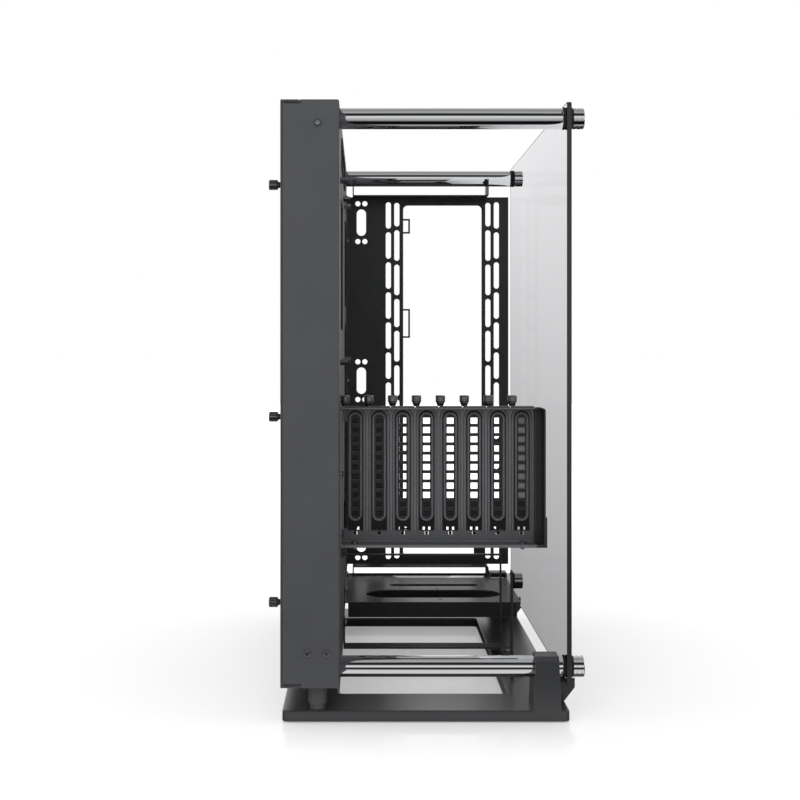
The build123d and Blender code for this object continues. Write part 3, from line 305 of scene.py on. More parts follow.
@dataclass(frozen=True)
class SlotRowCoat(PowderCoat):
    """Powder coat on the slot row: painted shade along the cut openings and in the grooves, and a painted highlight
    on the raised rims.

    Places are in mm. Each ring is a radius from a slot's middle line and how many times the coat's colour it shows:
    below 1 is painted shade, above 1 painted highlight.
    """

    first_x: float = 0.0
    pitch: float = SLOT_PITCH
    count: int = SLOT_COUNT
    head_z: float = 0.0
    foot_z: float = 0.0
    top_z: float = 0.0
    base_z: float = 0.0
    rings: tuple[tuple[float, float], ...] = ((0.0, 1.0),)
    most: float = 4.0
    end_x: float = 1000.0
    end_width: float = 8.4
    end_blend: float = 1.5
    fold_shade_tone: float = 0.2

    def shaded(
        self, tree: bpy.types.NodeTree, where: bpy.types.NodeSocket, colour: bpy.types.NodeSocket
    ) -> bpy.types.NodeSocket:
        """Paint shade and highlight into the coat, in rings about each slot's middle line.

        Args:
            tree: The material's tree.
            where: Object coordinates.
            colour: The coat's colour.

        Returns:
            The colour to show.
        """
        parts = add_node(tree, "ShaderNodeSeparateXYZ", {0: where})
        along = add_node(
            tree, "ShaderNodeMath", {0: parts.outputs["X"], 1: self.first_x * MM}, operation="SUBTRACT"
        )
        inside = add_node(
            tree,
            "ShaderNodeClamp",
            {"Value": along.outputs[0], "Min": -self.pitch / 2 * MM, "Max": (self.count - 0.5) * self.pitch * MM},
        )
        aside = add_node(
            tree, "ShaderNodeMath", {0: inside.outputs[0], 1: self.pitch / 2 * MM}, operation="PINGPONG"
        )
        over = add_node(
            tree, "ShaderNodeMath", {0: parts.outputs["Z"], 1: self.head_z * MM}, operation="SUBTRACT"
        )
        under = add_node(
            tree, "ShaderNodeMath", {0: self.foot_z * MM, 1: parts.outputs["Z"]}, operation="SUBTRACT"
        )
        ends = add_node(tree, "ShaderNodeMath", {0: over.outputs[0], 1: under.outputs[0]}, operation="MAXIMUM")
        past = add_node(tree, "ShaderNodeMath", {0: ends.outputs[0], 1: 0.0}, operation="MAXIMUM")
        offset = add_node(tree, "ShaderNodeCombineXYZ", {"X": aside.outputs[0], "Y": past.outputs[0]})
        radius = add_node(tree, "ShaderNodeVectorMath", {0: offset.outputs[0]}, operation="LENGTH")
        reach = self.pitch / 2 * MM
        share = add_node(tree, "ShaderNodeMapRange", {"Value": radius.outputs["Value"], "From Max": reach})
        # A ramp holds nothing above 1, so the rings are stored as shares of the most and scaled after it
        ring = add_node(tree, "ShaderNodeValToRGB", {"Fac": share.outputs[0]})
        ramp_stops(ring, [(at * MM / reach, (tone / self.most,) * 3 + (1.0,)) for at, tone in self.rings])
        below = add_node(
            tree, "ShaderNodeMath", {0: parts.outputs["Z"], 1: self.top_z * MM}, operation="LESS_THAN"
        )
        above = add_node(
            tree, "ShaderNodeMath", {0: parts.outputs["Z"], 1: self.base_z * MM}, operation="GREATER_THAN"
        )
        within = add_node(
            tree, "ShaderNodeMath", {0: below.outputs[0], 1: above.outputs[0]}, operation="MULTIPLY"
        )
        tone = add_node(
            tree,
            "ShaderNodeMix",
            {"Factor": within.outputs[0], 6: (1 / self.most,) * 3 + (1.0,), 7: ring.outputs[0]},
            data_type="RGBA",
        )
        # Painted shade round the fold at the row's outer end: the coat is darkened there
        fold = add_node(
            tree,
            "ShaderNodeMapRange",
            {
                "Value": parts.outputs["X"],
                "From Min": (self.end_x - self.end_width) * MM,
                "From Max": (self.end_x - self.end_width + self.end_blend) * MM,
                "To Min": self.most,
                "To Max": self.most * self.fold_shade_tone,
            },
        )
        scaled = add_node(
            tree, "ShaderNodeVectorMath", {0: tone.outputs[2], "Scale": fold.outputs[0]}, operation="SCALE"
        )
        shown = add_node(tree, "ShaderNodeVectorMath", {0: colour, 1: scaled.outputs[0]}, operation="MULTIPLY")
        return shown.outputs[0]


@dataclass(frozen=True)
class PlatedMetal:
    """Plated metal, turned before plating: mirror or satin shine with faint rings from the lathe."""

    name: str
    colour: str
    roughness: float
    ring_mm: float = 0.6
    ring_height_mm: float = 0.0012
    ring_strength: float = 0.4
    smear_mm: float = 18.0
    smear_range: tuple[float, float] = (0.35, 0.7)
    shine_range: tuple[float, float] = (0.7, 1.5)

    def material(self) -> bpy.types.Material:
        """Make the plating's material.

        Returns:
            The material, on Object coordinates.
        """
        material, tree = new_tree(self.name)
        where = add_node(tree, "ShaderNodeTexCoord").outputs["Object"]
        # Rings across the turning axis, drawn coarser than the lathe leaves them so that they show
        rings = add_node(
            tree, "ShaderNodeTexNoise", {"Vector": where, "Scale": 1 / (self.ring_mm * MM), "Detail": 1.0}
        )
        smear = add_node(
            tree, "ShaderNodeTexNoise", {"Vector": where, "Scale": 1 / (self.smear_mm * MM), "Detail": 4.0}
        )
        rough = add_node(
            tree,
            "ShaderNodeMapRange",
            {
                "Value": smear.outputs[0],
                "From Min": self.smear_range[0],
                "From Max": self.smear_range[1],
                "To Min": self.roughness * self.shine_range[0],
                "To Max": self.roughness * self.shine_range[1],
            },
        )
        bump = add_node(
            tree,
            "ShaderNodeBump",
            {"Height": rings.outputs[0], "Distance": self.ring_height_mm * MM, "Strength": self.ring_strength},
        )
        shader = add_node(
            tree,
            "ShaderNodeBsdfPrincipled",
            {
                "Base Color": linear(self.colour),
                "Metallic": 1.0,
                "Roughness": rough.outputs[0],
                "Normal": bump.outputs[0],
            },
        )
        add_node(tree, "ShaderNodeOutputMaterial", {"Surface": shader.outputs[0]})
        return material


@dataclass(frozen=True)
class MouldedRubber:
    """Moulded black rubber: nearly matt, with a soft bloom and a fine moulded grain."""

    name: str
    colour: str = "#1c1c1d"
    bloom_colour: str = "#29292b"
    bloom_mm: float = 9.0
    roughness: float = 0.72
    specular: float = 0.4
    grain_mm: float = 0.5
    grain_height_mm: float = 0.02
    grain_strength: float = 0.5
    edge_mm: float = 0.4

    def material(self) -> bpy.types.Material:
        """Make the rubber's material.

        Returns:
            The material, on Object coordinates.
        """
        material, tree = new_tree(self.name)
        where = add_node(tree, "ShaderNodeTexCoord").outputs["Object"]
        grain = add_node(
            tree, "ShaderNodeTexNoise", {"Vector": where, "Scale": 1 / (self.grain_mm * MM), "Detail": 3.0}
        )
        bloom = add_node(
            tree, "ShaderNodeTexNoise", {"Vector": where, "Scale": 1 / (self.bloom_mm * MM), "Detail": 2.0}
        )
        colour = add_node(tree, "ShaderNodeValToRGB", {"Fac": bloom.outputs[0]})
        ramp_stops(colour, [(0.35, linear(self.colour)), (0.75, linear(self.bloom_colour))])
        rounded = add_node(tree, "ShaderNodeBevel", {"Radius": self.edge_mm * MM}, samples=4)
        bump = add_node(
            tree,
            "ShaderNodeBump",
            {
                "Height": grain.outputs[0],
                "Distance": self.grain_height_mm * MM,
                "Strength": self.grain_strength,
                "Normal": rounded.outputs[0],
            },
        )
        shader = add_node(
            tree,
            "ShaderNodeBsdfPrincipled",
            {
                "Base Color": colour.outputs[0],
                "Roughness": self.roughness,
                "Specular IOR Level": self.specular,
                "IOR": PLAIN_IOR,
                "Normal": bump.outputs[0],
            },
        )
        add_node(tree, "ShaderNodeOutputMaterial", {"Surface": shader.outputs[0]})
        return material


@dataclass(frozen=True)
class SmokedGlass:
    """Smoked float glass, tempered: a clear grey tint under a coat that kills glare, painted paler at the head and
    darker towards the foot as a painted reflection.
    """

    name: str = "smoked_float_glass"
    head_tint_with_reflection: str = "#f4f4f5"
    foot_tint_with_reflection: str = "#cccccd"
    foot_z: float = 31.0
    head_z: float = 514.0
    sheen: float = 0.02
    sheen_roughness: float = 0.03

    def material(self) -> bpy.types.Material:
        """Make the glass's material.

        Returns:
            The material, on Object coordinates.
        """
        material, tree = new_tree(self.name)
        where = add_node(tree, "ShaderNodeTexCoord").outputs["Object"]
        height = add_node(tree, "ShaderNodeSeparateXYZ", {0: where}).outputs["Z"]
        # Painted reflection: the tint runs from pale at the head to darker at the foot, standing in for the bright
        # studio reflected in the glass
        share = add_node(
            tree,
            "ShaderNodeMapRange",
            {"Value": height, "From Min": self.foot_z * MM, "From Max": self.head_z * MM},
        )
        tint = add_node(tree, "ShaderNodeValToRGB", {"Fac": share.outputs[0]})
        ramp_stops(tint, [(0.0, linear(self.foot_tint_with_reflection)), (1.0, linear(self.head_tint_with_reflection))])
        clear = add_node(
            tree,
            "ShaderNodeBsdfRefraction",
            {"Color": tint.outputs[0], "Roughness": 0.0, "IOR": PLAIN_IOR},
        )
        gloss = add_node(tree, "ShaderNodeBsdfGlossy", {"Color": WHITE, "Roughness": self.sheen_roughness})
        shader = add_node(tree, "ShaderNodeMixShader", {0: self.sheen, 1: clear.outputs[0], 2: gloss.outputs[0]})
        add_node(tree, "ShaderNodeOutputMaterial", {"Surface": shader.outputs[0]})
        return material


@dataclass(frozen=True)
class GroundEdge:
    """Ground edge of the glass: dark, and satin from the wheel."""

    name: str = "ground_glass_edge"
    colour: str = "#1d1f20"
    mark_colour: str = "#34373a"
    mark_mm: float = 0.6
    roughness: float = 0.35

    def material(self) -> bpy.types.Material:
        """Make the edge's material.

        Returns:
            The material, on Object coordinates.
        """
        material, tree = new_tree(self.name)
        where = add_node(tree, "ShaderNodeTexCoord").outputs["Object"]
        marks = add_node(
            tree, "ShaderNodeTexNoise", {"Vector": where, "Scale": 1 / (self.mark_mm * MM), "Detail": 2.0}
        )
        colour = add_node(tree, "ShaderNodeValToRGB", {"Fac": marks.outputs[0]})
        ramp_stops(colour, [(0.3, linear(self.colour)), (0.8, linear(self.mark_colour))])
        shader = add_node(
            tree,
            "ShaderNodeBsdfPrincipled",
            {"Base Color": colour.outputs[0], "Roughness": self.roughness, "IOR": PLAIN_IOR},
        )
        add_node(tree, "ShaderNodeOutputMaterial", {"Surface": shader.outputs[0]})
        return material


class Finishes:
    """The bench's finishes, each made once."""

    # Drops from the slot frame's top edge, in mm: the row's upper limit, then the middle of each piece's round
    # head and the end of its painted shade and highlight at the foot
    row_drop: float = 2.0
    frame_head_drop: float = 9.25
    frame_foot_drop: float = 105.6
    cover_head_drop: float = 10.15
    cover_foot_drop: float = 91.45

    def __init__(self) -> None:
        """Make every material of the bench."""
        self.tray_coat = PowderCoat("tray_powder_coat", "#4b4c4e", "#7c7e82", 0.52, 0.5).material()
        self.base_coat = PowderCoat("base_powder_coat", "#343537", "#6c6e72", 0.32, 0.6).material()
        covers_low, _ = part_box("slot_covers")
        _, frame_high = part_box("slot_frame")
        first_x, top_z = covers_low.x / MM + COVER_WIDTH / 2, frame_high.z / MM
        # Painted shade on the slot frame: darkened to a tenth along the cut openings and to 0.3 in the grooves
        # between the covers, lifted a little on the bars
        self.slot_coat = SlotRowCoat(
            "slot_frame_powder_coat",
            "#525355",
            "#9c9ea2",
            0.42,
            0.5,
            edge_mm=0.8,
            wear_and_highlight_share=0.8,
            first_x=first_x,
            head_z=top_z - self.frame_head_drop,
            top_z=top_z - self.row_drop,
            base_z=top_z - self.frame_foot_drop,
            end_x=frame_high.x / MM,
            rings=((0.0, 0.1), (6.75, 0.1), (7.1, 1.15), (8.3, 1.15), (8.6, 0.3), (9.1, 0.3), (9.4, 1.25)),
        ).material()
        # Painted highlight and shade on the covers: the raised rims painted four times paler, the gaps beyond them
        # darkened to a tenth
        self.cover_coat = SlotRowCoat(
            "slot_cover_powder_coat",
            "#232426",
            "#808285",
            0.4,
            0.4,
            edge_mm=0.6,
            wear_and_highlight_share=0.5,
            first_x=first_x,
            head_z=top_z - self.cover_head_drop,
            foot_z=top_z - self.cover_foot_drop,
            top_z=top_z - self.row_drop,
            rings=((0.0, 1.0), (4.1, 1.0), (4.5, 4.0), (5.5, 4.0), (5.75, 0.1), (6.5, 0.1)),
        ).material()
        # Painted shade: a darker, less glossy copy of the black coat for the radiator plate and power supply frame
        # deep inside the bench, where less light reaches
        self.shaded_inner_coat = PowderCoat("shaded_inner_powder_coat", "#353637", "#5c5d60", 0.5, 0.3).material()
        self.rail_coat = PowderCoat("rail_powder_coat", "#1d1e1f", "#4c4d50", 0.5, 0.3).material()
        self.end_coat = PowderCoat("end_plate_powder_coat", "#757678", "#8c8e92", 0.5, 0.4).material()
        # Painted highlight: the shelf's pale edges stand in for the light caught on its bends
        self.shelf_coat = PowderCoat(
            "shelf_powder_coat", "#28292a", "#b0b2b5", 0.36, 0.4, edge_mm=0.8, wear_and_highlight_share=0.8
        ).material()
        self.chrome = PlatedMetal("bright_chrome_plate", "#e9eaec", 0.04).material()
        self.zinc = PlatedMetal("black_zinc_plate", "#8a8b8e", 0.3, 0.5, 0.004).material()
        self.rubber = MouldedRubber("moulded_black_rubber").material()
        self.glass = SmokedGlass().material()
        self.glass_edge = GroundEdge().material()


def turned(profile: Sequence[tuple[float, float]], steps: int = 48) -> bmesh.types.BMesh:
    """Spin a profile about Z, as a lathe does.

    Args:
        profile: Radius and height of each point, in mm, from one pole to the other.
        steps: Faces around.

    Returns:
        The closed mesh, in metres.
    """
    bm = bmesh.new()
    points = [bm.verts.new((radius * MM, 0, height * MM)) for radius, height in profile]
    for first, second in zip(points, points[1:]):
        bm.edges.new((first, second))
    bmesh.ops.spin(
        bm,
        geom=bm.verts[:] + bm.edges[:],
        cent=(0, 0, 0),
        axis=(0, 0, 1),
        angle=math.tau,
        steps=steps,
        use_merge=True,
    )
    bmesh.ops.remove_doubles(bm, verts=bm.verts, dist=1e-7)
    bmesh.ops.recalc_face_normals(bm, faces=bm.faces)
    return bm


def soften(bm: bmesh.types.BMesh, offset_mm: float, segments: int = 2, angle: float = 40.0) -> None:
    """Round the mesh's sharp edges.

    Args:
        bm: The mesh.
        offset_mm: How far from the edge the rounding starts, in mm.
        segments: Faces across the rounding.
        angle: Edges sharper than this many degrees are rounded.
    """
    sharp = [edge for edge in bm.edges if edge.is_manifold and edge.calc_face_angle() > math.radians(angle)]
    bmesh.ops.bevel(
        bm,
        geom=sharp,
        offset=offset_mm * MM,
        segments=segments,
        profile=0.5,
        affect="EDGES",
        material=-1,
        clamp_overlap=True,
    )


def repeated(bm: bmesh.types.BMesh, places: Iterable[Matrix]) -> bmesh.types.BMesh:
    """Copy a mesh to several seats.

    Args:
        bm: The mesh at the origin, which is freed.
        places: Matrix of each seat.

    Returns:
        One mesh with every copy.
    """
    source = bpy.data.meshes.new("seat_source")
    bm.to_mesh(source)
    bm.free()
    copies = bmesh.new()
    for place in places:
        before = set(copies.verts)
        copies.from_mesh(source)
        bmesh.ops.transform(copies, matrix=place, verts=[vert for vert in copies.verts if vert not in before])
    bpy.data.meshes.remove(source)
    return copies


def make_piece(
    name: str,
    bm: bmesh.types.BMesh,
    materials: Sequence[bpy.types.Material],
    nodes: Sequence[str],
) -> bpy.types.Object:
    """Make an object of a finished mesh, in place of CAD nodes.

    Args:
        name: The piece's name.
        bm: Its mesh in place, in metres, which is freed.
        materials: Its materials, in the order of the faces' numbers.
        nodes: The CAD nodes that it replaces.

    Returns:
        The new object.
    """
    mesh = bpy.data.meshes.new(name)
    bm.to_mesh(mesh)
    bm.free()
    for material in materials:
        mesh.materials.append(material)
    piece = bpy.data.objects.new(name, mesh)
    bpy.context.scene.collection.objects.link(piece)
    mesh.shade_smooth()
    mesh.set_sharp_from_angle(angle=math.radians(35))
    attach(piece, BODY)
    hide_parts(*nodes)
    log.info("%s: %d faces, for %s", name, len(mesh.polygons), ", ".join(nodes))
    return piece


def dress(node: str, material: bpy.types.Material) -> None:
    """Give a CAD node its finish.

    Args:
        node: The node's name.
        material: The finish.
    """
    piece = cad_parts[node]
    if not piece.material_slots:
        piece.data.materials.append(material)
    for slot in piece.material_slots:
        slot.material = material
    log.info("%s: %s", node, material.name)


@dataclass(frozen=True)
class KnurledScrew:
    """Thumb screw with a knurled head and a turned collar, its sizes in mm."""

    head_radius: float
    head: float
    collar_radius: float
    collar: float
    neck_share: float = 0.7
    neck: float = 0.5
    shoulder_share: float = 0.8
    taper: float = 0.3
    sink: float = 0.1
    rim: float = 0.9
    ridge: float = 0.14
    press: float = 0.22
    dish_rim: float = 0.9
    dish: float = 0.35
    ridges: int = 40
    steps: int = 32

    def mesh(self) -> bmesh.types.BMesh:
        """Turn the collar and knurl the head.

        Returns:
            The mesh, seated at the origin with its head towards +Z.
        """
        neck_radius = self.collar_radius * self.neck_share
        bm = turned(
            [
                (0.0, 0.0),
                (neck_radius, 0.0),
                (neck_radius, self.neck),
                (self.collar_radius * self.shoulder_share, self.neck + self.taper),
                (self.collar_radius, self.collar - self.taper),
                (self.collar_radius, self.collar + self.sink),
                (0.0, self.collar + self.sink),
            ],
            self.steps,
        )
        made = bmesh.ops.create_cone(
            bm,
            cap_ends=True,
            segments=self.ridges,
            radius1=self.head_radius * MM,
            radius2=self.head_radius * MM,
            depth=self.head * MM,
            matrix=Matrix.Translation((0, 0, (self.collar + self.head / 2) * MM)),
        )
        verts = set(made["verts"])
        rims = [
            edge
            for edge in bm.edges
            if set(edge.verts) <= verts and abs(edge.verts[0].co.z - edge.verts[1].co.z) < 1e-6
        ]
        bmesh.ops.bevel(
            bm, geom=rims, offset=self.rim * MM, segments=3, profile=0.5, affect="EDGES", material=-1
        )
        # Knurl: each long face of the head is pressed in a little between its ridges. A long face is upright, above
        # the collar, and larger than any face of the rounded rims
        least = (self.head - 2 * self.rim - 0.4) * 0.3 * MM * MM
        flanks = [
            face
            for face in bm.faces
            if face.calc_area() > least
            and abs(face.normal.z) < 0.1
            and face.calc_center_median().z > (self.collar + 0.2) * MM
        ]
        bmesh.ops.inset_individual(bm, faces=flanks, thickness=self.ridge * MM, depth=-self.press * MM)
        top = max(bm.faces, key=lambda face: face.calc_center_median().z)
        bmesh.ops.inset_region(bm, faces=[top], thickness=self.dish_rim * MM, depth=-self.dish * MM)
        return bm


@dataclass
class Tray:
    """Folded tray with its rear cover, brackets and screws."""

    finishes: Finishes
    thumb_drops: tuple[float, ...] = (68.9, 260.9, 414.4)
    thumb_inset: float = 12.0
    thumb_screw: KnurledScrew = KnurledScrew(head_radius=4.2, head=7.4, collar_radius=2.8, collar=2.6)

    def build(self) -> None:
        """Dress the sheets and make the knurled screws of the cover."""
        for node in ("tray_pan", "rear_cover", "corner_clips", "foot_brackets"):
            dress(node, self.finishes.tray_coat)
        for node in ("wall_screws", "face_screws", "post_screws", "standoffs"):
            dress(node, self.finishes.zinc)
        dress("cable_grommets", self.finishes.rubber)
        low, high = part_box("tray_pan")
        cover_low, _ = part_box("rear_cover")
        seats = [
            Facing.REAR.place(cover_low.x / MM, y, high.z / MM - drop)
            for y in (low.y / MM + self.thumb_inset, high.y / MM - self.thumb_inset)
            for drop in self.thumb_drops
        ]
        screws = repeated(self.thumb_screw.mesh(), seats)
        make_piece("cover_knurled_screws", screws, [self.finishes.zinc], ["cover_thumb_screws"])


@dataclass
class BaseRing:
    """Ring base with its columns, uprights and rubber pads."""

    finishes: Finishes
    pad_radius: float = 8.0
    pad_height: float = 8.5
    pad_groove: tuple[float, float, float] = (2.6, 2.2, 1.6)
    pad_groove_depth: float = 0.5
    pad_round: tuple[float, float] = (0.5, 0.6)

    def build(self) -> None:
        """Dress the base and make its turned pads."""
        dress("base_frame", self.finishes.base_coat)
        dress("base_columns", self.finishes.tray_coat)
        dress("column_bolts", self.finishes.zinc)
        dress("column_nuts", self.finishes.zinc)
        dress("glass_rest_pads", self.finishes.rubber)
        low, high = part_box("base_pads")
        seats = [
            Facing.UP.place(x, y, 0.0)
            for x in (low.x / MM + self.pad_radius, high.x / MM - self.pad_radius)
            for y in (low.y / MM + self.pad_radius, high.y / MM - self.pad_radius)
        ]
        inner, middle, outer = (self.pad_radius - inset for inset in self.pad_groove)
        round_in, round_up = self.pad_round
        pad = turned(
            [
                (0.0, 0.0),
                (inner, 0.0),
                (middle, self.pad_groove_depth),
                (outer, 0.0),
                (self.pad_radius - round_in, 0.0),
                (self.pad_radius, round_up),
                (self.pad_radius, self.pad_height),
                (0.0, self.pad_height),
            ]
        )
        make_piece("ribbed_base_pads", repeated(pad, seats), [self.finishes.rubber], ["base_pads"])


@dataclass
class PostSet:
    """Four chromed posts with turned caps and the rubber washers of the glass."""

    finishes: Finishes
    names: tuple[str, ...] = ("lower_near_post", "upper_near_post", "lower_far_post", "upper_far_post")
    edge: float = 0.6
    washer_radius: float = 9.4
    washer_thickness: float = 2.0
    washer_round: tuple[float, float] = (0.4, 0.5)
    groove: float = 0.35
    groove_shares: tuple[float, ...] = (0.3, 0.72)
    groove_steps: tuple[float, float, float] = (0.25, 0.65, 0.9)
    dish: tuple[float, float, float] = (1.8, 2.3, 0.4)
    steps: int = 96

    def build(self) -> None:
        """Turn the posts, caps and washers."""
        caps: list[Matrix] = []
        washers: list[Matrix] = []
        _, cap_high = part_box("post_caps")
        _, glass_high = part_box("glass_panel")
        for name in self.names:
            low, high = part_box(name)
            radius = (high.z - low.z) / 2 / MM
            centre_y, centre_z = (low.y + high.y) / 2 / MM, (low.z + high.z) / 2 / MM
            length = (high.x - low.x) / MM
            post = turned(
                [
                    (0.0, 0.0),
                    (radius - self.edge, 0.0),
                    (radius - self.edge * 0.3, self.edge * 0.25),
                    (radius, self.edge),
                    (radius, length - self.edge),
                    (radius - self.edge * 0.3, length - self.edge * 0.25),
                    (radius - self.edge, length),
                    (0.0, length),
                ],
                self.steps,
            )
            make_piece(
                f"turned_{name}",
                repeated(post, [Facing.GLASS.place(low.x / MM, centre_y, centre_z)]),
                [self.finishes.chrome],
                [name],
            )
            washers.append(Facing.GLASS.place(high.x / MM, centre_y, centre_z))
            washers.append(Facing.GLASS.place(glass_high.x / MM, centre_y, centre_z))
            caps.append(Facing.GLASS.place(glass_high.x / MM + self.washer_thickness, centre_y, centre_z))
        cap_length = (cap_high.x - glass_high.x) / MM - self.washer_thickness
        self.build_caps(caps, radius, cap_length)
        round_in, round_up = self.washer_round
        washer = turned(
            [
                (0.0, 0.0),
                (self.washer_radius - round_in, 0.0),
                (self.washer_radius, round_up),
                (self.washer_radius, self.washer_thickness - round_up),
                (self.washer_radius - round_in, self.washer_thickness),
                (0.0, self.washer_thickness),
            ]
        )
        rounded = repeated(washer, washers)
        make_piece("rounded_glass_washers", rounded, [self.finishes.rubber], ["glass_washers"])

    def build_caps(self, seats: Sequence[Matrix], radius: float, length: float) -> None:
        """Turn the caps, with two fine grooves and a dished end.

        Args:
            seats: Where each cap sits.
            radius: The caps' radius, in mm.
            length: Their length, in mm.
        """
        cut = radius - self.groove
        down, along, up = self.groove_steps
        profile = [(0.0, 0.0), (radius - self.edge, 0.0), (radius, self.edge)]
        for share in self.groove_shares:
            start = length * share
            profile += [(radius, start), (cut, start + down), (cut, start + along), (radius, start + up)]
        dish_rim, dish_foot, dish_depth = self.dish
        profile += [
            (radius, length - self.edge),
            (radius - self.edge, length),
            (radius - dish_rim, length),
            (radius - dish_foot, length - dish_depth),
            (0.0, length - dish_depth),
        ]
        cap = turned(profile, self.steps)
        make_piece("turned_post_caps", repeated(cap, seats), [self.finishes.chrome], ["post_caps"])


@dataclass
class GlassPanel:
    """Sheet of smoked glass with rounded corners and ground edges."""

    finishes: Finishes
    corner: float = 3.0
    arris: float = 0.5

    def build(self) -> None:
        """Cut the sheet, round its corners and edges, and give the edges their own finish."""
        low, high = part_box("glass_panel")
        centre, size = (low + high) / 2, high - low
        bm = bmesh.new()
        bmesh.ops.create_cube(bm, size=1.0, matrix=Matrix.Translation(centre) @ Matrix.Diagonal((*size, 1.0)))
        upright = [edge for edge in bm.edges if abs(edge.verts[0].co.x - edge.verts[1].co.x) > 1e-6]
        bmesh.ops.bevel(
            bm, geom=upright, offset=self.corner * MM, segments=6, profile=0.5, affect="EDGES", material=-1
        )
        soften(bm, self.arris, 3)
        bm.normal_update()
        for face in bm.faces:
            face.material_index = 0 if abs(face.normal.x) > 0.99 else 1
        sheet = make_piece(
            "smoked_glass_sheet",
            bm,
            [self.finishes.glass, self.finishes.glass_edge],
            ["glass_panel"],
        )
        # The two faces stay dead flat, so that the view through them isn't bent
        for polygon in sheet.data.polygons:
            polygon.use_smooth = polygon.material_index != 0


@dataclass
class InnerSheets:
    """Slot frame with its covers, radiator plate, pump shelf and power supply frame."""

    finishes: Finishes
    first_screw: float = 4.0
    screw_y: float = -192.5
    thumb_screw: KnurledScrew = KnurledScrew(head_radius=4.1, head=5.9, collar_radius=3.4, collar=3.4)
    end_width: float = 24.0
    end_pad: float = 6.5
    end_gap: float = 0.4
    end_drop: float = 4.0
    sheet: float = 1.2
    fold: float = 0.3

    def build(self) -> None:
        """Dress the inner sheets and make the knurled screws of the slot covers."""
        for node in ("slot_frame", "slot_brace"):
            dress(node, self.finishes.slot_coat)
        dress("slot_covers", self.finishes.cover_coat)
        dress("cover_rail", self.finishes.rail_coat)
        # These inner sheets get the darker copy of the coat, painted shade
        for node in ("radiator_plate", "psu_cradle"):
            dress(node, self.finishes.shaded_inner_coat)
        dress("pump_shelf", self.finishes.shelf_coat)
        for node in ("brace_screws", "cradle_screws"):
            dress(node, self.finishes.zinc)
        low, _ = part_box("slot_frame")
        _, cover_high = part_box("slot_covers")
        seats = [
            Facing.UP.place(low.x / MM + self.first_screw + SLOT_PITCH * index, self.screw_y, cover_high.z / MM)
            for index in range(SLOT_COUNT)
        ]
        screws = repeated(self.thumb_screw.mesh(), seats)
        make_piece("slot_knurled_screws", screws, [self.finishes.zinc], ["slot_thumb_screws"])
        self.build_end_plate()

    def build_end_plate(self) -> None:
        """Fold the plate behind the last slot, from the rail's top edge up to the frame's head."""
        rail_low, rail_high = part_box("cover_rail")
        _, covers_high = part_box("slot_covers")
        _, frame_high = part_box("slot_frame")
        back, front = covers_high.y / MM + self.end_gap + self.sheet, rail_low.y / MM
        outer = rail_high.x / MM
        outline = [
            (outer - self.end_width, back),
            (outer - self.end_width, back - self.sheet),
            (outer - self.end_pad, back - self.sheet),
            (outer - self.end_pad, front),
            (outer, front),
            (outer, front + self.sheet),
            (outer - self.end_pad + self.sheet, front + self.sheet),
            (outer - self.end_pad + self.sheet, back),
        ]
        bm = bmesh.new()
        points = [bm.verts.new((x * MM, y * MM, rail_high.z)) for x, y in outline]
        face = bm.faces.new(points)
        raised = bmesh.ops.extrude_face_region(bm, geom=[face])["geom"]
        rise = Vector((0, 0, frame_high.z - rail_high.z - self.end_drop * MM))
        bmesh.ops.translate(bm, vec=rise, verts=[item for item in raised if isinstance(item, bmesh.types.BMVert)])
        bmesh.ops.recalc_face_normals(bm, faces=bm.faces)
        soften(bm, self.fold)
        mesh = bpy.data.meshes.new("slot_end_plate")
        bm.to_mesh(mesh)
        bm.free()
        mesh.materials.append(self.finishes.end_coat)
        plate = bpy.data.objects.new("slot_end_plate", mesh)
        bpy.context.scene.collection.objects.link(plate)
        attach(plate, BODY)
        log.info("slot_end_plate: %d faces", len(mesh.polygons))


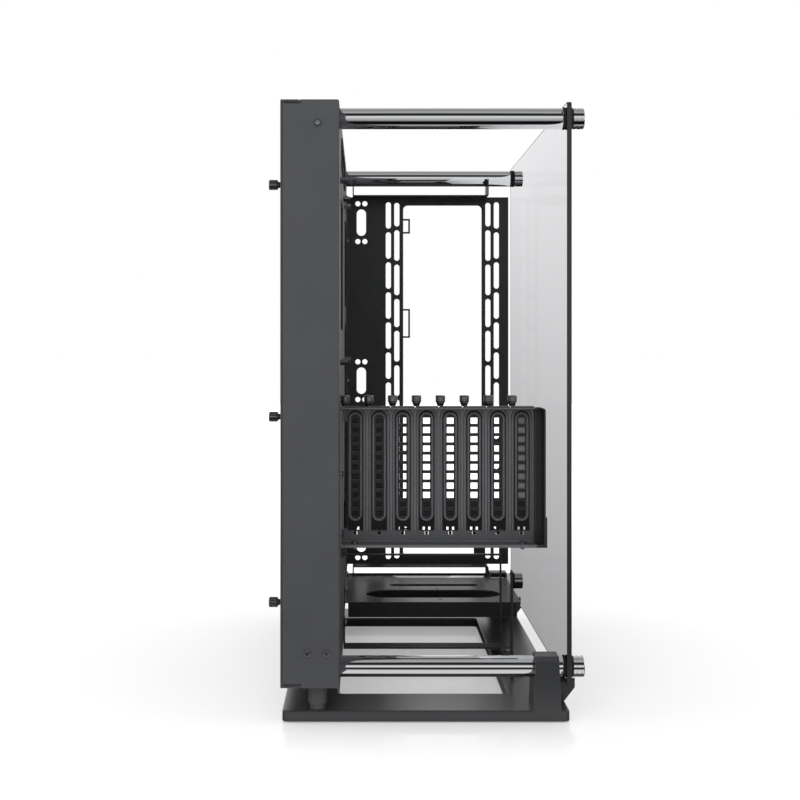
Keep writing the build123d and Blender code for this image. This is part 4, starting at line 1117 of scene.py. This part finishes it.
@dataclass
class Studio:
    """White studio: floor, world, lamps and the photograph's camera."""

    lens: float = 63.0
    camera_place: tuple[float, float, float] = (-51.6, -1383.0, 312.5)
    shift: tuple[float, float] = (0.04375, -0.06875)
    sensor: float = 36.0
    floor_size: float = 12000.0
    floor_grey: float = 232
    polish: float = 0.12
    reflection: float = 0.14
    lift: float = 0.32
    lamp_target: tuple[float, float, float] = (0.0, 0.0, 250.0)
    lamp_gloss: float = 0.3

    # Name, place in mm, size in metres and power in watts of each lamp
    lamps: tuple[tuple[str, tuple[float, float, float], float, float], ...] = (
        ("front_softbox", (-300.0, -1900.0, 1300.0), 1.4, 11.0),
        ("left_softbox", (-1800.0, 0.0, 900.0), 1.2, 6.0),
        ("right_softbox", (1900.0, -200.0, 900.0), 1.2, 6.0),
        ("rear_softbox", (0.0, 1900.0, 1200.0), 1.4, 7.0),
    )

    # Where the floor's reflection fades in and where its shadow fades out, in metres
    reflection_span: tuple[float, float] = (-0.34, -0.225)
    shadow_span: tuple[float, float] = (0.35, 1.4)

    # World strength for matt pieces, at and below the horizon and overhead
    soft_light: tuple[float, float] = (0.55, 0.8)

    # Grey levels that shiny pieces see around the bench, by the angle in degrees from the camera's side and over
    # the top
    bands: tuple[tuple[float, float], ...] = (
        (-180, 200), (-3, 200), (9, 240), (16, 215), (22, 150), (27, 60), (31, 30), (41, 32), (46, 60),
        (52, 116), (63, 187), (70, 180), (79, 150), (95, 146), (114, 165), (140, 205), (152, 255), (180, 255),
    )

    # Grey levels that shiny pieces see of the floor, by its depth in metres, from far out in front to the bench
    flags: tuple[tuple[float, float], ...] = (
        (-1.6, 185), (-1.35, 161), (-1.0, 143), (-0.9, 100), (-0.83, 40), (-0.72, 12), (-0.5, 14), (-0.42, 22),
        (-0.36, 50), (-0.315, 100), (-0.295, 200), (-0.28, 215), (-0.235, 225), (-0.222, 60), (-0.18, 105),
        (-0.05, 95), (0.1, 40), (0.3, 20),
    )
    flag_span: tuple[float, float] = (-1.6, 0.4)

    def build(self) -> None:
        """Make the floor, the world, the lamps and the camera."""
        self.build_camera()
        self.build_world()
        self.build_floor()
        self.build_lamps()
        bpy.context.scene.view_settings.view_transform = "Standard"

    def build_camera(self) -> None:
        """Set the camera at the photograph's viewing point, looking straight along the bench."""
        data = bpy.data.cameras.new("photo_camera")
        data.lens = self.lens
        data.sensor_width = self.sensor
        data.shift_x, data.shift_y = self.shift
        data.clip_end = 100.0
        camera = bpy.data.objects.new("photo_camera", data)
        camera.location = Vector(self.camera_place) * MM
        camera.rotation_euler = (math.radians(90), 0, 0)
        bpy.context.scene.collection.objects.link(camera)
        bpy.context.scene.camera = camera

    def build_world(self) -> None:
        """Light the bench evenly, show white to the camera and banded softboxes to shiny pieces."""
        world = bpy.data.worlds.new("studio")
        world.use_nodes = True
        tree = world.node_tree
        tree.nodes.clear()
        where = add_node(tree, "ShaderNodeTexCoord").outputs["Generated"]
        parts = add_node(tree, "ShaderNodeSeparateXYZ", {0: where})
        to_camera = add_node(tree, "ShaderNodeMath", {0: parts.outputs["Y"], 1: -1.0}, operation="MULTIPLY")
        angle = add_node(
            tree, "ShaderNodeMath", {0: parts.outputs["Z"], 1: to_camera.outputs[0]}, operation="ARCTAN2"
        )
        share = add_node(
            tree, "ShaderNodeMapRange", {"Value": angle.outputs[0], "From Min": -math.pi, "From Max": math.pi}
        )
        bands = add_node(tree, "ShaderNodeValToRGB", {"Fac": share.outputs[0]})
        ramp_stops(bands, [((turn + 180) / 360, grey(level)) for turn, level in self.bands])
        soft = add_node(
            tree,
            "ShaderNodeMapRange",
            {
                "Value": parts.outputs["Z"],
                "From Min": -0.2,
                "From Max": 1.0,
                "To Min": self.soft_light[0],
                "To Max": self.soft_light[1],
            },
        )
        path = add_node(tree, "ShaderNodeLightPath")
        lit = add_node(
            tree,
            "ShaderNodeMix",
            {"Factor": path.outputs["Is Glossy Ray"], 6: soft.outputs[0], 7: bands.outputs[0]},
            data_type="RGBA",
        )
        seen = add_node(
            tree,
            "ShaderNodeMath",
            {0: path.outputs["Is Camera Ray"], 1: path.outputs["Is Transmission Ray"]},
            operation="MAXIMUM",
        )
        colour = add_node(
            tree,
            "ShaderNodeMix",
            {"Factor": seen.outputs[0], 6: lit.outputs[2], 7: WHITE},
            data_type="RGBA",
        )
        shader = add_node(tree, "ShaderNodeBackground", {"Color": colour.outputs[2], "Strength": 1.0})
        add_node(tree, "ShaderNodeOutputWorld", {"Surface": shader.outputs[0]})
        bpy.context.scene.world = world

    def build_floor(self) -> None:
        """Lay a white floor that keeps the bench's shadow and, close to its front, a faint reflection."""
        bm = bmesh.new()
        bmesh.ops.create_grid(bm, x_segments=1, y_segments=1, size=self.floor_size / 2 * MM)
        mesh = bpy.data.meshes.new("studio_floor")
        bm.to_mesh(mesh)
        bm.free()
        material, tree = new_tree("white_studio_floor")
        mesh.materials.append(material)
        where = add_node(tree, "ShaderNodeTexCoord").outputs["Object"]
        depth = add_node(tree, "ShaderNodeSeparateXYZ", {0: where}).outputs["Y"]
        matt = add_node(tree, "ShaderNodeBsdfDiffuse", {"Color": grey(self.floor_grey)})
        path = add_node(tree, "ShaderNodeLightPath")
        reach = add_node(tree, "ShaderNodeVectorMath", {0: where}, operation="LENGTH")
        fade = add_node(
            tree,
            "ShaderNodeMapRange",
            {
                "Value": reach.outputs["Value"],
                "From Min": self.shadow_span[0],
                "From Max": self.shadow_span[1],
                "To Min": self.lift,
                "To Max": 1.0,
            },
        )
        lift = add_node(
            tree, "ShaderNodeMath", {0: path.outputs["Is Camera Ray"], 1: fade.outputs[0]}, operation="MULTIPLY"
        )
        glow = add_node(tree, "ShaderNodeEmission", {"Color": WHITE, "Strength": lift.outputs[0]})
        lit = add_node(tree, "ShaderNodeAddShader", {0: matt.outputs[0], 1: glow.outputs[0]})
        polish = add_node(tree, "ShaderNodeBsdfGlossy", {"Color": WHITE, "Roughness": self.polish})
        near = add_node(
            tree,
            "ShaderNodeMapRange",
            {
                "Value": depth,
                "From Min": self.reflection_span[0],
                "From Max": self.reflection_span[1],
                "To Min": 0.0,
                "To Max": self.reflection,
            },
            interpolation_type="SMOOTHSTEP",
        )
        share = add_node(
            tree, "ShaderNodeMath", {0: near.outputs[0], 1: path.outputs["Is Camera Ray"]}, operation="MULTIPLY"
        )
        shown = add_node(
            tree, "ShaderNodeMixShader", {0: share.outputs[0], 1: lit.outputs[0], 2: polish.outputs[0]}
        )
        # What shiny pieces see of the floor: dark flags out in front, paler close to the bench
        start, end = self.flag_span
        span = add_node(tree, "ShaderNodeMapRange", {"Value": depth, "From Min": start, "From Max": end})
        flags = add_node(tree, "ShaderNodeValToRGB", {"Fac": span.outputs[0]})
        ramp_stops(flags, [((place - start) / (end - start), grey(level)) for place, level in self.flags])
        mirrored = add_node(tree, "ShaderNodeEmission", {"Color": flags.outputs[0], "Strength": 1.0})
        # A ray through the glass counts as glossy too, and sees plain white
        bounced = add_node(
            tree,
            "ShaderNodeMath",
            {0: path.outputs["Is Glossy Ray"], 1: path.outputs["Is Transmission Ray"]},
            operation="SUBTRACT",
            use_clamp=True,
        )
        white = add_node(tree, "ShaderNodeEmission", {"Color": WHITE, "Strength": 1.0})
        plain = add_node(
            tree,
            "ShaderNodeMixShader",
            {0: path.outputs["Is Transmission Ray"], 1: shown.outputs[0], 2: white.outputs[0]},
        )
        surface = add_node(
            tree, "ShaderNodeMixShader", {0: bounced.outputs[0], 1: plain.outputs[0], 2: mirrored.outputs[0]}
        )
        add_node(tree, "ShaderNodeOutputMaterial", {"Surface": surface.outputs[0]})
        floor = bpy.data.objects.new("studio_floor", mesh)
        bpy.context.scene.collection.objects.link(floor)

    def build_lamps(self) -> None:
        """Hang a broad softbox over the front, a weaker one on each side and one behind."""
        for name, place, size, power in self.lamps:
            data = bpy.data.lights.new(name, "AREA")
            data.size = size
            data.energy = power
            data.specular_factor = self.lamp_gloss
            lamp = bpy.data.objects.new(name, data)
            lamp.location = Vector(place) * MM
            aim = Vector(self.lamp_target) * MM - lamp.location
            lamp.rotation_euler = aim.to_track_quat("-Z", "Y").to_euler()
            lamp.visible_camera = False
            lamp.visible_glossy = False
            lamp.visible_transmission = False
            bpy.context.scene.collection.objects.link(lamp)


def main() -> None:
    """Build the studio and each sub-assembly in turn."""
    logging.basicConfig(level=logging.INFO, format="%(message)s")
    finishes = Finishes()
    for part in (
        Studio(),
        Tray(finishes),
        BaseRing(finishes),
        PostSet(finishes),
        GlassPanel(finishes),
        InnerSheets(finishes),
    ):
        part.build()


if __name__ == "__main__":
    main()
